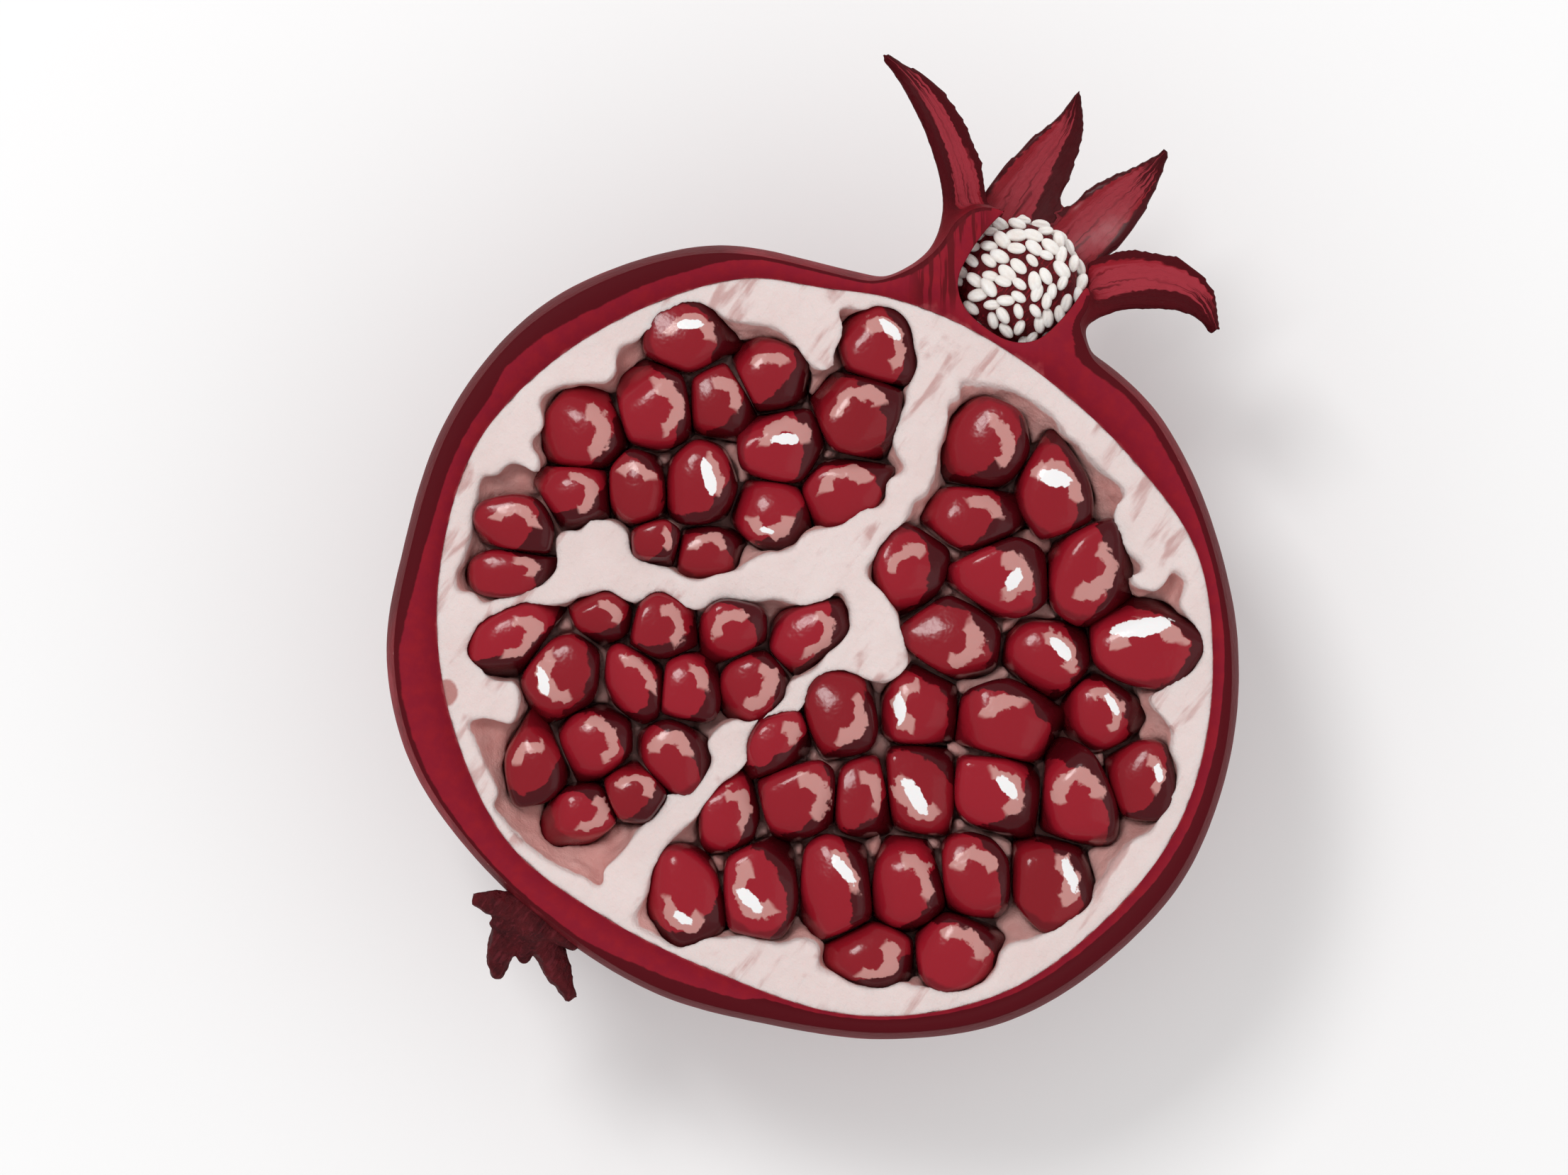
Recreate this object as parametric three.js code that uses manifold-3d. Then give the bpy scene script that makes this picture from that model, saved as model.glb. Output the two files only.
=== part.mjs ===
// An open pomegranate: a fruit cut lengthwise through its crown, lying on its rind with the cut face up.
// Millimetres. +Z is up and +Y runs from the stem to the crown. The origin is the middle of the resting spot.

import * as THREE from "three";
import { mergeVertices } from "three/addons/utils/BufferGeometryUtils.js";
import Module from "manifold-3d";

// Heights
const CUT_Z = 52; // the cut face
const WIDEST_Z = 44; // where the rind bulges furthest, so the knife passed a little off the middle
const FLAT_DEPTH = 0.6; // how much the round underside is flattened where it rests
const RIM_SHARE = 0.975; // the rim at the cut, as a share of the widest outline
const RIM_STEP = 0.55; // where an extra ring lies, as a share of the way from the widest outline to the cut
const GAP = 0.3; // clearance between two nodes that touch

// Rind and pith
const SKIN_FULLNESS = 2.15; // exponent of the side profile: 2 is an ellipse, more is fuller
const RIND_UNDER = 3.4; // thickness of the rind below the pith
const PITH_BULGE = 1.015; // the pith's widest outline, as a share of its outline at the cut
const RIBS = 6; // soft corners round the fruit, from stem to crown
const RIB_SHARE = 0.018; // how far they stand out, as a share of the radius
const BODY_RADIUS = 54; // about half the fruit's width, where the ribs stand out most
const SKIN_MESH = { columns: 42, steps: 9 };
const PITH_MESH = { columns: 38, steps: 7 };
const TOOL_RISE = 3; // how far a cutting shape stands above the cut face

// Seed chambers
const CHAMBER_COLUMNS = 64;
const CHAMBER_DEPTH = 6.6;
const CHAMBER_STEPS = [
  [1, 0],
  [0.99, 0.25],
  [0.965, 0.6],
  [0.93, 0.86],
  [0.88, 1],
]; // share of the outline left, at each share of the depth

// Arils
const ARIL_MESH = { columns: 8, rings: 5 };
const ARIL_TALL = { least: 4.6, growth: 0.45 }; // height: a least one, and more for wider arils
const ARIL_PROUD = [-0.3, 1.9]; // how far the tops stand above the cut face, least and most
const ARIL_TAPER = 0.12; // how much narrower the root end is, and wider the other
const FACET_SHARPNESS = 7; // of an aril's own soft sides: higher gives flatter sides and tighter corners
const PRESS_SHARPNESS = 16; // of the sides that neighbours press
const PRESS_GAP = 0.2; // left between two arils that press on each other
const FACETS = {
  least: 5,
  more: 2,
  turnStray: 0.35,
  tilt: 0.7,
  tiltFrom: 0.35,
  reach: [0.92, 1.06],
  lean: 0.4,
}; // how many sides an aril has, and how far each one turns, tilts and stands out
const UNDER_FACET = [0.2, -0.1, -1];
const BED_SHARE = 0.99; // of the chamber's outline, before it is trimmed to the dish
const BED_THICKNESS = 2; // the layer under the arils that joins a chamber's arils
const BED_ROOT = 1; // how far that layer starts under the dish, before it is trimmed

// Crown
const CROWN_X = -8.5;
const CROWN_Z = CUT_Z - 4;
const CROWN_SIDES = 20;
const CROWN_SLANT = 0.33; // how much higher the tube leaves the fruit per millimetre towards its right
const CROWN_SLANT_FOOT = -13; // where that slant starts, from the tube's middle
const CROWN_SLANT_Y = [43, 57]; // where that slant is whole, and where it has faded away
const TUBE_PROFILE = [
  [0, 36],
  [17, 39.5],
  [13.6, 43],
  [11.7, 45.8],
  [10.8, 48.6],
  [10.6, 52],
  [10.8, 54.6],
  [9.8, 57.6],
  [6.5, 59.6],
  [0, 60.2],
]; // radius and distance along +Y
const CUP_X = -7.6;
const CUP_PROFILE = [
  [0, 45.7],
  [4.8, 46.2],
  [7.3, 48.5],
  [8.1, 52],
  [8.2, 56.5],
  [7.6, 59.5],
  [5.2, 61.8],
  [0, 62.4],
];
const SEPAL_THICK = 2.3;
const SEPAL_THINNING = 0.45; // how much thinner the tip is, as a share
const SEPAL_EDGE = 0.45; // thickness at a sepal's edge, as a share of the middle
const SEPAL_CUP = 1.3; // how far its edges stand above its middle
const FULL_CUP_WIDTH = 8; // a narrower stretch is cupped less
const SEPAL_MESH = { across: 4, along: 8 };

// Stamens
const ANTHER = { long: 2.7, wide: 1.25, tall: 1.4 };
const ANTHER_SIZES = [0.88, 1.12]; // smallest and largest, as a share of the above
const ANTHER_STEP = { across: 2.4, along: 1.5 };
const ANTHER_ROWS = 6; // on each side of the middle one
const ANTHER_STRAY = 0.3; // how far one lies off its place, as a share of the step
const ANTHER_SPREAD = 0.97; // anthers stand on this share of the dome
const ANTHER_TURN = { left: 15, fall: 85, from: -2.5, to: 6.5, stray: 50 }; // headings in degrees
const PACK = { x: CUP_X, y: 53.3, z: CUT_Z - 7, rx: 8.4, ry: 8, rz: 5.6 }; // the packed filaments' dome

// Stem
const STEM_Z = CUT_Z - 6;
const HUB = { u: -36, v: -34.6, radius: 3.6 };
const STRIP_LOOK = [0.1, 0.3, 0.95]; // the way that each strip's outer face looks
const STRIP_CUP = 0.3;
const STRIP_EDGE = 0.5;
const STRIP_MESH = { across: 2, along: 5 };

// The layout below is drawn as the cut face is seen from above: u to the right and v up, from the middle of
// the fruit. There the crown leans to the right of straight up by this angle.
const LEAN = THREE.MathUtils.degToRad(37);

// The fruit's widest outline, without its crown
const SKIN_OUTLINE = [
  [-12, 52], [5, 48.7], [20, 44.6], [33, 39.8], [42, 33], [46.6, 26.5], [51.2, 16], [54.3, 1], [53.3, -14.3],
  [47.3, -29.5], [36.3, -41], [24.3, -47.8], [10, -50], [-6, -48.1], [-20.4, -44.2], [-32.6, -36.9],
  [-44.4, -26], [-52.2, -14.2], [-55.1, -1], [-53, 13], [-47.6, 29.4], [-38, 42], [-25, 49.4],
];

// The edge of the pale flesh on the cut face
const PITH_OUTLINE = [
  [-9, 47.6], [1, 46.4], [10, 45], [20, 41], [30.5, 34], [40.5, 24.5], [48.6, 13], [50.8, 0], [49.5, -13.5],
  [45.5, -24], [37.5, -34], [26, -42.8], [14, -46.4], [2, -46.2], [-13, -41], [-26.6, -34.3], [-39, -24.9],
  [-45.6, -12], [-48.2, 0], [-47.8, 12], [-43.5, 26], [-34.5, 36.2], [-22, 43.8],
];

// Each chamber's outline and the point that its walls lean towards
const CHAMBERS = {
  upper: {
    centre: [-21, 24],
    outline: [
      [-46.2, 7.6], [-44.5, 13.5], [-43.4, 18.7], [-42.5, 22.8], [-41.1, 21.8], [-40.2, 23.2], [-38.9, 24],
      [-37.1, 23.5], [-35.9, 22.1], [-35.2, 24.1], [-36.6, 26.8], [-34.9, 28.2], [-34.9, 30.4], [-35.4, 31.9],
      [-33.7, 33.3], [-31.6, 34], [-29.4, 34.2], [-26.4, 34.4], [-25.4, 36], [-25.2, 38.4], [-20.6, 40.7],
      [-19, 42], [-17.2, 43.9], [-15.4, 44.4], [-13, 43.7], [-11.2, 42.2], [-8.9, 41.8], [-6.9, 41.8],
      [-5, 41.2], [-3.1, 39.6], [-1.4, 37.5], [0.2, 35.8], [2.6, 36.3], [2.5, 38], [3.5, 39.8], [3.4, 42.2],
      [3.2, 44], [5.8, 43.5], [8.1, 44.2], [10.5, 43.5], [12.2, 41.7], [12.9, 38.9], [13, 36.1], [12, 33.6],
      [11.6, 31.2], [9.6, 28], [10.4, 25.7], [11.9, 22.8], [9.5, 22.1], [8.8, 18.3], [6.2, 18], [3.4, 16],
      [0.4, 15.4], [-1.6, 14.5], [-3, 12.7], [-6.6, 12.2], [-8.6, 11.2], [-9.7, 10.2], [-12, 10],
      [-14.5, 8.9], [-16.4, 9.1], [-18.8, 10.4], [-21.5, 11.7], [-22.9, 14], [-25.7, 16.5], [-29.5, 16.6],
      [-29.8, 14.9], [-31.6, 15.5], [-33.3, 14.4], [-33, 12.5], [-33.2, 10.4], [-34.6, 8.6], [-37.8, 8.2],
      [-40, 7.3], [-42.4, 5.7], [-43.7, 7.2],
    ],
  },
  left: {
    centre: [-23, -6],
    outline: [
      [-44.6, 0], [-43.7, 2], [-41.8, 4], [-39.6, 5.2], [-37.4, 5.8], [-34.2, 5.8], [-32.6, 5.9],
      [-30.8, 6.6], [-29.4, 7.2], [-27.9, 7.6], [-26, 7.5], [-24.2, 6.3], [-22.6, 6.2], [-20.6, 7],
      [-18.7, 6.4], [-17.6, 5.5], [-12.7, 5.5], [-11.6, 5.9], [-8.6, 6.1], [-4.8, 6.6], [-1.7, 5.7],
      [1.4, 6.3], [3.5, 8], [4.3, 5.8], [4.5, 3], [3.5, 1.4], [1.6, -0.3], [0.6, -1.8], [-1.7, -3.3],
      [-3.3, -4], [-3.9, -5.6], [-6, -7.8], [-8.4, -9.1], [-10, -8.7], [-13.5, -11], [-13.9, -12.4],
      [-12.8, -14], [-14.3, -15.4], [-16, -17.2], [-19.4, -18.3], [-20, -19.7], [-22.2, -22.1],
      [-24.1, -25.1], [-25.4, -26.7], [-27.1, -28.2], [-27.3, -30.9], [-29.6, -29], [-32.5, -27.9],
      [-36.2, -25.6], [-38.6, -23.3], [-41.4, -19.6], [-40.4, -18.6], [-42.4, -14.2], [-43.7, -11.1],
      [-44.7, -9.4], [-43, -8.6], [-40.8, -9], [-38.7, -9.4], [-37.9, -6.9], [-38.3, -4.1], [-41.8, -3.4],
      [-42.8, -1.8],
    ],
  },
  right: {
    centre: [20, -9],
    outline: [
      [16.9, 32], [18.4, 32.4], [18.5, 33.9], [17.9, 34.8], [21.2, 34.2], [24, 34], [28.1, 31.8], [29.5, 31],
      [31.9, 28], [34.3, 25.6], [36.9, 23], [39.8, 20.1], [38.4, 18.7], [37.9, 17.2], [37.4, 15.6],
      [39.3, 13.2], [42.3, 10.5], [39.9, 9.5], [41.3, 8.2], [43.4, 7.6], [44.7, 8.6], [45.9, 10.6],
      [47.6, 8.8], [46.9, 7], [46.6, 5.8], [47.9, 4], [49.1, 1.6], [49.4, -0.3], [49, -1.9], [47.6, -2.8],
      [45.8, -3.6], [44, -4.9], [42.7, -6], [43.3, -7.4], [45.2, -9.2], [45.9, -10.9], [45.5, -12.6],
      [46.4, -14.7], [45.8, -17.7], [44.3, -19.8], [43.1, -23.2], [40.9, -24.2], [39.3, -25.5], [37.6, -27.8],
      [35.9, -30.3], [34.2, -33.2], [32.2, -34.6], [29.9, -35.7], [27.9, -36.8], [23.9, -38.3], [22.8, -41.4],
      [20.7, -42.9], [16.9, -43.4], [14.4, -42.7], [12.6, -43.3], [11.2, -42.6], [7.7, -43.3], [5.2, -42.9],
      [2.8, -41.7], [0.3, -41], [0.3, -37.9], [-2.4, -36.9], [-4.7, -37.7], [-8.3, -36.7], [-11.5, -36.8],
      [-14.2, -36.9], [-17.9, -38], [-19.9, -37], [-23.6, -34.6], [-21.8, -31.4], [-21.2, -29.2],
      [-19.8, -26], [-18.1, -23.6], [-15.9, -21.9], [-14, -20], [-12.8, -18.4], [-11.7, -16.6], [-10, -15.6],
      [-8.7, -14.8], [-7.9, -12.6], [-5.8, -10.1], [-3.6, -8.3], [-1.3, -7.7], [-0.3, -5.5], [1, -3.2],
      [3.1, -2.6], [5.6, -3.2], [7.3, -4], [9.7, -3.8], [11.7, -2.2], [11.6, 0.3], [11, 2.6], [9.9, 5.6],
      [8, 8.2], [6.1, 10.1], [7.1, 11.5], [8.3, 13.6], [10.2, 15.2], [11.6, 17.1], [12.3, 18.9], [14.2, 20.2],
      [14.9, 21.9], [15.7, 24.1], [15.5, 25.8], [16.4, 27.8], [17, 29.9],
    ],
  },
};

// The arils of each chamber: u, v, length, width and the heading of the length in degrees
const ARILS = {
  upper: [
    [-16, 40, 10.4, 8.6, 0], [-29.5, 28, 11.6, 10.4, 100], [-20.2, 31, 11, 9.6, 80],
    [-12.3, 31.8, 9.2, 8.2, 100], [-5.8, 35.2, 9.6, 8.4, 150], [8.3, 39, 11.2, 9.2, 95],
    [5.6, 30.3, 11.4, 10.2, 60], [-4, 26.2, 11, 9.2, 35], [-14.7, 21.4, 11.6, 8.8, 85],
    [-22.8, 21, 10, 7.4, 100], [-30.7, 20.2, 9.2, 7.8, 170], [3.7, 20.5, 11.4, 8, 25],
    [-5.5, 17.5, 9.8, 9.2, 140], [-20.2, 14, 5.8, 5, 0], [-13.7, 12.7, 7.8, 6.8, 10],
    [-38.3, 16, 10.2, 7.2, 170], [-38.9, 10.1, 11.2, 5.8, 5],
  ],
  left: [
    [-38.8, 1.8, 12.2, 7.2, 22], [-27.3, 4.3, 7.6, 6.4, 170], [-19.4, 3, 8.8, 8, 100],
    [-10.4, 2.7, 8.8, 7, 8], [-0.8, 2, 11.6, 7, 35], [-32.2, -3, 11, 9.6, 60], [-23, -4, 11.4, 6.6, 120],
    [-16.2, -4.5, 9, 8, 110], [-7.8, -4.4, 9.4, 8.6, 60], [-28.1, -11.6, 9.6, 8.8, 20],
    [-18.3, -13.3, 9.6, 8.4, 120], [-35.7, -14.6, 9.6, 8, 90], [-29.4, -20.6, 8.6, 7.2, 10],
    [-23.2, -18.1, 8, 6.6, 15],
  ],
  right: [
    [21.9, 26.3, 11.6, 10.4, 100], [30.7, 20.4, 12.6, 8.8, 105], [20.3, 17, 12, 8, 170],
    [12, 10.3, 10, 8.2, 80], [23.5, 9.5, 12.8, 9.4, 175], [34.8, 10.5, 12.8, 9.8, 75],
    [17.7, 1.5, 12.2, 9.6, 170], [29.7, -0.6, 11.4, 9.2, 155], [42.2, 0.9, 14.6, 9.6, 5],
    [36.5, -7.8, 9.6, 8.4, 130], [41.8, -16.3, 9.8, 8.6, 70], [13.2, -7.3, 10.6, 9.6, 100],
    [24.4, -9, 12.4, 9.6, 170], [3.4, -8.1, 11.2, 9.4, 95], [-4.8, -11.8, 9.8, 6.2, 50],
    [-1.8, -18.9, 10.6, 9.8, 30], [5.9, -18.8, 10.6, 7.4, 80], [13.5, -17.6, 12.8, 9.8, 110],
    [22.8, -18.2, 12.6, 9.8, 160], [33.6, -18.8, 11.8, 9.6, 110], [-10.8, -20.8, 10.4, 7, 75],
    [-16.5, -31.6, 13, 9.6, 105], [-7, -30.1, 11.8, 9.8, 90], [2.6, -30, 13.6, 9.2, 100],
    [11.8, -30, 12, 9.8, 90], [20.3, -28.8, 11.6, 9, 110], [30.1, -29.3, 11.8, 10.2, 130],
    [7, -39.1, 11.4, 8.4, 175], [18.2, -38.4, 10.8, 9.6, 0],
  ],
};

// The sepals, in the part's own frame with heights below the cut face: the line that each follows from root
// to tip, its width along that line, and the way its inner face looks at the root and at the tip.
const SEPALS = [
  {
    path: [
      [-17, 49, -5.5], [-17.9, 53.6, -5.6], [-20.5, 57.9, -5.6], [-25.6, 61.9, -5.2], [-32.4, 64.9, -4],
      [-39, 66.1, -2.4],
    ],
    widths: [8.4, 8.6, 8, 7.4, 5.8, 1.4],
    looks: [[0.8, 0, 0.6], [0.3, 0.7, 0.62]],
  },
  {
    path: [
      [-13, 48, -12.4], [-13.3, 55.4, -13.4], [-14, 62.8, -13.9], [-14.3, 69.3, -13], [-14.6, 73.8, -11.4],
      [-16.2, 78, -9.2],
    ],
    widths: [8.6, 9.4, 9.3, 7.6, 4.6, 1.2],
    looks: [[0.3, 0, 0.95], [0.1, -0.4, 0.9]],
  },
  {
    path: [
      [-4.6, 48, -12.4], [-4.6, 55.4, -13.4], [-4.3, 62.8, -14.2], [-3.5, 69.3, -13.8], [-2.7, 74, -12.4],
      [-2.5, 79, -10],
    ],
    widths: [8.4, 9, 8.9, 8, 5, 1.2],
    looks: [[-0.3, 0, 0.95], [0, -0.4, 0.9]],
  },
  {
    path: [
      [0, 50, -5.5], [0.5, 55.2, -5.7], [2.4, 59.9, -6], [6.6, 63.5, -6.2], [11.7, 65.2, -6.4],
      [16.7, 63.4, -7],
    ],
    widths: [8.4, 9, 9.8, 9.2, 6.4, 1.4],
    looks: [[-0.8, 0, 0.6], [-0.1, 0.55, 0.8]],
  },
];

// The stem's torn collar: each strip's line from the hub, as the layout's u and v with a height above STEM_Z,
// its width along that line, and its thickness at the hub and at the tip.
const STRIPS = [
  {
    path: [[-36.5, -33.2, 1], [-40, -32.6, 1.4], [-44, -31.9, 1.2]],
    widths: [5, 4.4, 3.6, 2.8, 1.3],
    thick: [3.4, 1.8],
  },
  {
    path: [[-36.6, -34, 0.6], [-39, -34.6, 0.9], [-41.6, -35.4, 0.6]],
    widths: [5, 4.4, 3.6, 2.8, 1.4],
    thick: [3.2, 1.8],
  },
  {
    path: [[-38, -34.6, 0], [-40.2, -38, -0.4], [-41, -42.2, -1]],
    widths: [5, 4.2, 3.6, 3, 1.3],
    thick: [3.6, 2],
  },
  {
    path: [[-36.6, -34.8, 0], [-37.2, -37.6, 0.2], [-37.5, -40.2, 0]],
    widths: [4.6, 3.8, 2.8, 2, 1],
    thick: [3.2, 1.6],
  },
  {
    path: [[-36, -34.8, 0], [-34.2, -38.6, -0.8], [-31.3, -44.9, -1.6]],
    widths: [5, 4.2, 3.8, 3.2, 1.4],
    thick: [3.6, 2.2],
  },
  {
    path: [[-36, -34, 1], [-33.2, -36, 1.4], [-30.4, -38.2, 1.2]],
    widths: [4.6, 3.6, 2.8, 2.2, 1.2],
    thick: [3.2, 1.8],
  },
  {
    path: [[-36, -34.6, -1], [-36.8, -35.6, -4], [-37, -35.4, -6.6]],
    widths: [6, 5, 4, 3.4, 2],
    thick: [3.4, 1.8],
  },
];

const FINISHES = {
  rind: { color: 0x901c28, roughness: 0.4 },
  pith: { color: 0xe9d6d4, roughness: 0.7 },
  arils: { color: 0x9a1526, roughness: 0.15 },
  stamens: { color: 0xf5efe8, roughness: 0.6 },
  stem: { color: 0x5d131a, roughness: 0.8 },
};

const MERGE_DISTANCE = 1e-4; // points nearer than this are one
const BALL_MESH = [12, 8]; // columns and rings of a plain ball
const SLAB_WIDTH = 400; // wider than the whole fruit

const wasm = await Module();
wasm.setup();

// A repeatable number from 0 to 1 for a pair of whole numbers
function draw(i, k) {
  const s = Math.sin(i * 12.9898 + k * 78.233 + 3.7) * 43758.5453;
  return s - Math.floor(s);
}

// A point of the layout in the part's own frame
function place(u, v, z = 0) {
  const [c, s] = [Math.cos(LEAN), Math.sin(LEAN)];
  return new THREE.Vector3(u * c - v * s, u * s + v * c, z);
}

// A smooth closed outline through points of the layout, which run clockwise, grown outwards by a margin. The
// points that it returns run the other way.
function outlineOf(points, count, margin = 0) {
  const curve = new THREE.CatmullRomCurve3(points.map(([u, v]) => place(u, v)), true);
  const rim = curve.getSpacedPoints(count).slice(0, count).reverse();
  return rim.map((point, i) => {
    const edge = rim[(i + 1) % count].clone().sub(rim[(i + count - 1) % count]).normalize();
    return point.clone().add(new THREE.Vector3(edge.y, -edge.x, 0).multiplyScalar(margin));
  });
}

// Turns a closed geometry into a solid, for joining and cutting
function solidOf(geometry) {
  geometry.deleteAttribute("normal");
  geometry.deleteAttribute("uv");
  const merged = mergeVertices(geometry, MERGE_DISTANCE);
  const index = merged.index.array;
  const corners = [];
  for (let i = 0; i < index.length; i += 3) {
    const [a, b, c] = [index[i], index[i + 1], index[i + 2]];
    if (a !== b && b !== c && c !== a) corners.push(a, b, c);
  }
  return new wasm.Manifold(
    new wasm.Mesh({
      numProp: 3,
      vertProperties: new Float32Array(merged.getAttribute("position").array),
      triVerts: new Uint32Array(corners),
    }),
  );
}

// Turns a solid back into a named mesh
function meshOf(name, solid) {
  const { vertProperties, triVerts } = solid.getMesh();
  const geometry = new THREE.BufferGeometry();
  geometry.setAttribute("position", new THREE.BufferAttribute(vertProperties, 3));
  geometry.setIndex(new THREE.BufferAttribute(triVerts, 1));
  geometry.computeVertexNormals();
  const finish = FINISHES[name.split("_")[0]];
  const mesh = new THREE.Mesh(geometry, new THREE.MeshStandardMaterial({ ...finish, metalness: 0 }));
  mesh.name = name;
  return mesh;
}

// Moves every vertex of a geometry by a function of its place
function warp(geometry, move) {
  const position = geometry.getAttribute("position");
  const p = new THREE.Vector3();
  for (let i = 0; i < position.count; i++) {
    move(p.fromBufferAttribute(position, i), i);
    position.setXYZ(i, p.x, p.y, p.z);
  }
  return geometry;
}

// A solid whose level cuts are one outline, drawn in towards a centre. The profile runs up from the axis and
// back to it, as pairs of the share of the outline and the height.
function loft(outline, centre, profile) {
  const columns = outline.length;
  const lathe = new THREE.LatheGeometry(profile.map(([share, z]) => new THREE.Vector2(share, z)), columns);
  return warp(lathe, (p, i) => {
    const [share, z] = profile[i % profile.length];
    const rim = outline[Math.floor(i / profile.length) % columns];
    p.set(centre.x + share * (rim.x - centre.x), centre.y + share * (rim.y - centre.y), z);
  });
}

// The side profile of a round fruit from its underside up to the cut, as shares of the widest outline
function fruitProfile(bottom, widest, cutShare, steps, grow = 0) {
  const profile = [];
  for (let k = 0; k <= steps; k++) {
    const a = (Math.PI / 2) * (k / steps);
    const share = Math.sin(a) ** (2 / SKIN_FULLNESS);
    profile.push([widest * share, WIDEST_Z - (WIDEST_Z - bottom) * Math.cos(a) ** (2 / SKIN_FULLNESS)]);
  }
  profile[0][0] = 0;
  const drawIn = (t) => widest - (widest - cutShare) * t * t;
  profile.push([drawIn(RIM_STEP), WIDEST_Z + RIM_STEP * (CUT_Z - WIDEST_Z)]);
  profile.push([drawIn(1), CUT_Z + grow]);
  profile.push([0, CUT_Z + grow]);
  return profile;
}

// Raises soft ribs that run from stem to crown over the underside
function ribbed(p) {
  const down = p.z - WIDEST_Z;
  const reach = Math.hypot(p.x, down) / BODY_RADIUS;
  const wave = (1 + Math.cos(RIBS * (Math.atan2(down, p.x) + Math.PI / 2))) / 2;
  const swell = 1 + RIB_SHARE * wave * reach * reach;
  if (down < 0) p.set(p.x * swell, p.y, WIDEST_Z + down * swell);
}

// The whole fruit's outside up to the cut, grown outwards by a margin
function skinBody(margin = 0) {
  const profile = fruitProfile(-FLAT_DEPTH - margin, 1, RIM_SHARE, SKIN_MESH.steps, margin);
  const outline = outlineOf(SKIN_OUTLINE, SKIN_MESH.columns, margin);
  return solidOf(warp(loft(outline, place(0, 0), profile), ribbed));
}

// The pale flesh's outer body, grown outwards by a margin and upwards by a rise
function fleshBody(margin = 0, rise = 0) {
  const profile = fruitProfile(RIND_UNDER - margin, PITH_BULGE, 1, PITH_MESH.steps, rise);
  return solidOf(loft(outlineOf(PITH_OUTLINE, PITH_MESH.columns, margin), place(0, 0), profile));
}

// A round shape turned about the crown's direction, from pairs of radius and distance along +Y
function turned(profile) {
  return new THREE.LatheGeometry(profile.map(([r, y]) => new THREE.Vector2(r, y)), CROWN_SIDES);
}

// The cup inside the crown, drawn in by a margin
function crownCup(margin = 0) {
  const [low, high] = [CUP_PROFILE[0][1], CUP_PROFILE.at(-1)[1]];
  const shrink = 1 - (2 * margin) / (high - low);
  const middle = (low + high) / 2;
  const profile = CUP_PROFILE.map(([r, y]) => [Math.max(0, r - margin), middle + (y - middle) * shrink]);
  return solidOf(turned(profile).translate(CUP_X, 0, CROWN_Z));
}

// The crown's tube, which flares into the fruit, whose right shoulder is the higher one
function crownTube() {
  const slanted = warp(turned(TUBE_PROFILE), (p) => {
    const fade = 1 - THREE.MathUtils.smoothstep(p.y, ...CROWN_SLANT_Y);
    p.y += CROWN_SLANT * (p.x - CROWN_SLANT_FOOT) * fade;
  });
  return solidOf(slanted.translate(CROWN_X, 0, CROWN_Z));
}

// A strap along a curve: its width and thickness change from root to tip, and its edges are thinner than its
// middle and stand above it by the cup.
function strap({ curve, widthAt, thickAt, lookAt, cup, edge, across, along }) {
  const box = new THREE.BoxGeometry(1, 1, 1, across, along, 1);
  const [tangent, look, side] = [new THREE.Vector3(), new THREE.Vector3(), new THREE.Vector3()];
  return warp(box, (p) => {
    const t = THREE.MathUtils.clamp(p.y + 0.5, 0, 1);
    curve.getTangent(t, tangent);
    look.copy(lookAt(t)).addScaledVector(tangent, -tangent.dot(look)).normalize();
    side.crossVectors(tangent, look);
    const off = 4 * p.x * p.x;
    const thick = thickAt(t) * (1 - (1 - edge) * off);
    const lift = cup * off * Math.min(1, widthAt(t) / FULL_CUP_WIDTH) + p.z * thick;
    const x = p.x * widthAt(t);
    p.copy(curve.getPoint(t)).addScaledVector(side, x).addScaledVector(look, lift);
  });
}

// The value at a share of the way along a list, straight between its entries
function along(values, t) {
  const at = Math.min(t * (values.length - 1), values.length - 1.000001);
  const k = Math.floor(at);
  return THREE.MathUtils.lerp(values[k], values[k + 1], at - k);
}

function sepal({ path, widths, looks }) {
  const curve = new THREE.CatmullRomCurve3(path.map(([x, y, z]) => new THREE.Vector3(x, y, CUT_Z + z)));
  const [root, tip] = looks.map((look) => new THREE.Vector3(...look));
  return solidOf(
    strap({
      curve,
      widthAt: (t) => along(widths, t),
      thickAt: (t) => SEPAL_THICK * (1 - SEPAL_THINNING * t * t),
      lookAt: (t) => root.clone().lerp(tip, t),
      cup: SEPAL_CUP,
      edge: SEPAL_EDGE,
      ...SEPAL_MESH,
    }),
  );
}

// A dish cut down into the flesh for one chamber, drawn in by a margin
function chamberDish({ centre, outline }, margin = 0) {
  const steps = CHAMBER_STEPS.map(([share, depth]) => [share, CUT_Z - depth * (CHAMBER_DEPTH - margin)]);
  const profile = [[0, steps.at(-1)[1]], ...steps.reverse(), [1, CUT_Z + TOOL_RISE], [0, CUT_Z + TOOL_RISE]];
  return solidOf(loft(outlineOf(outline, CHAMBER_COLUMNS, -margin), place(...centre), profile));
}

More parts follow.
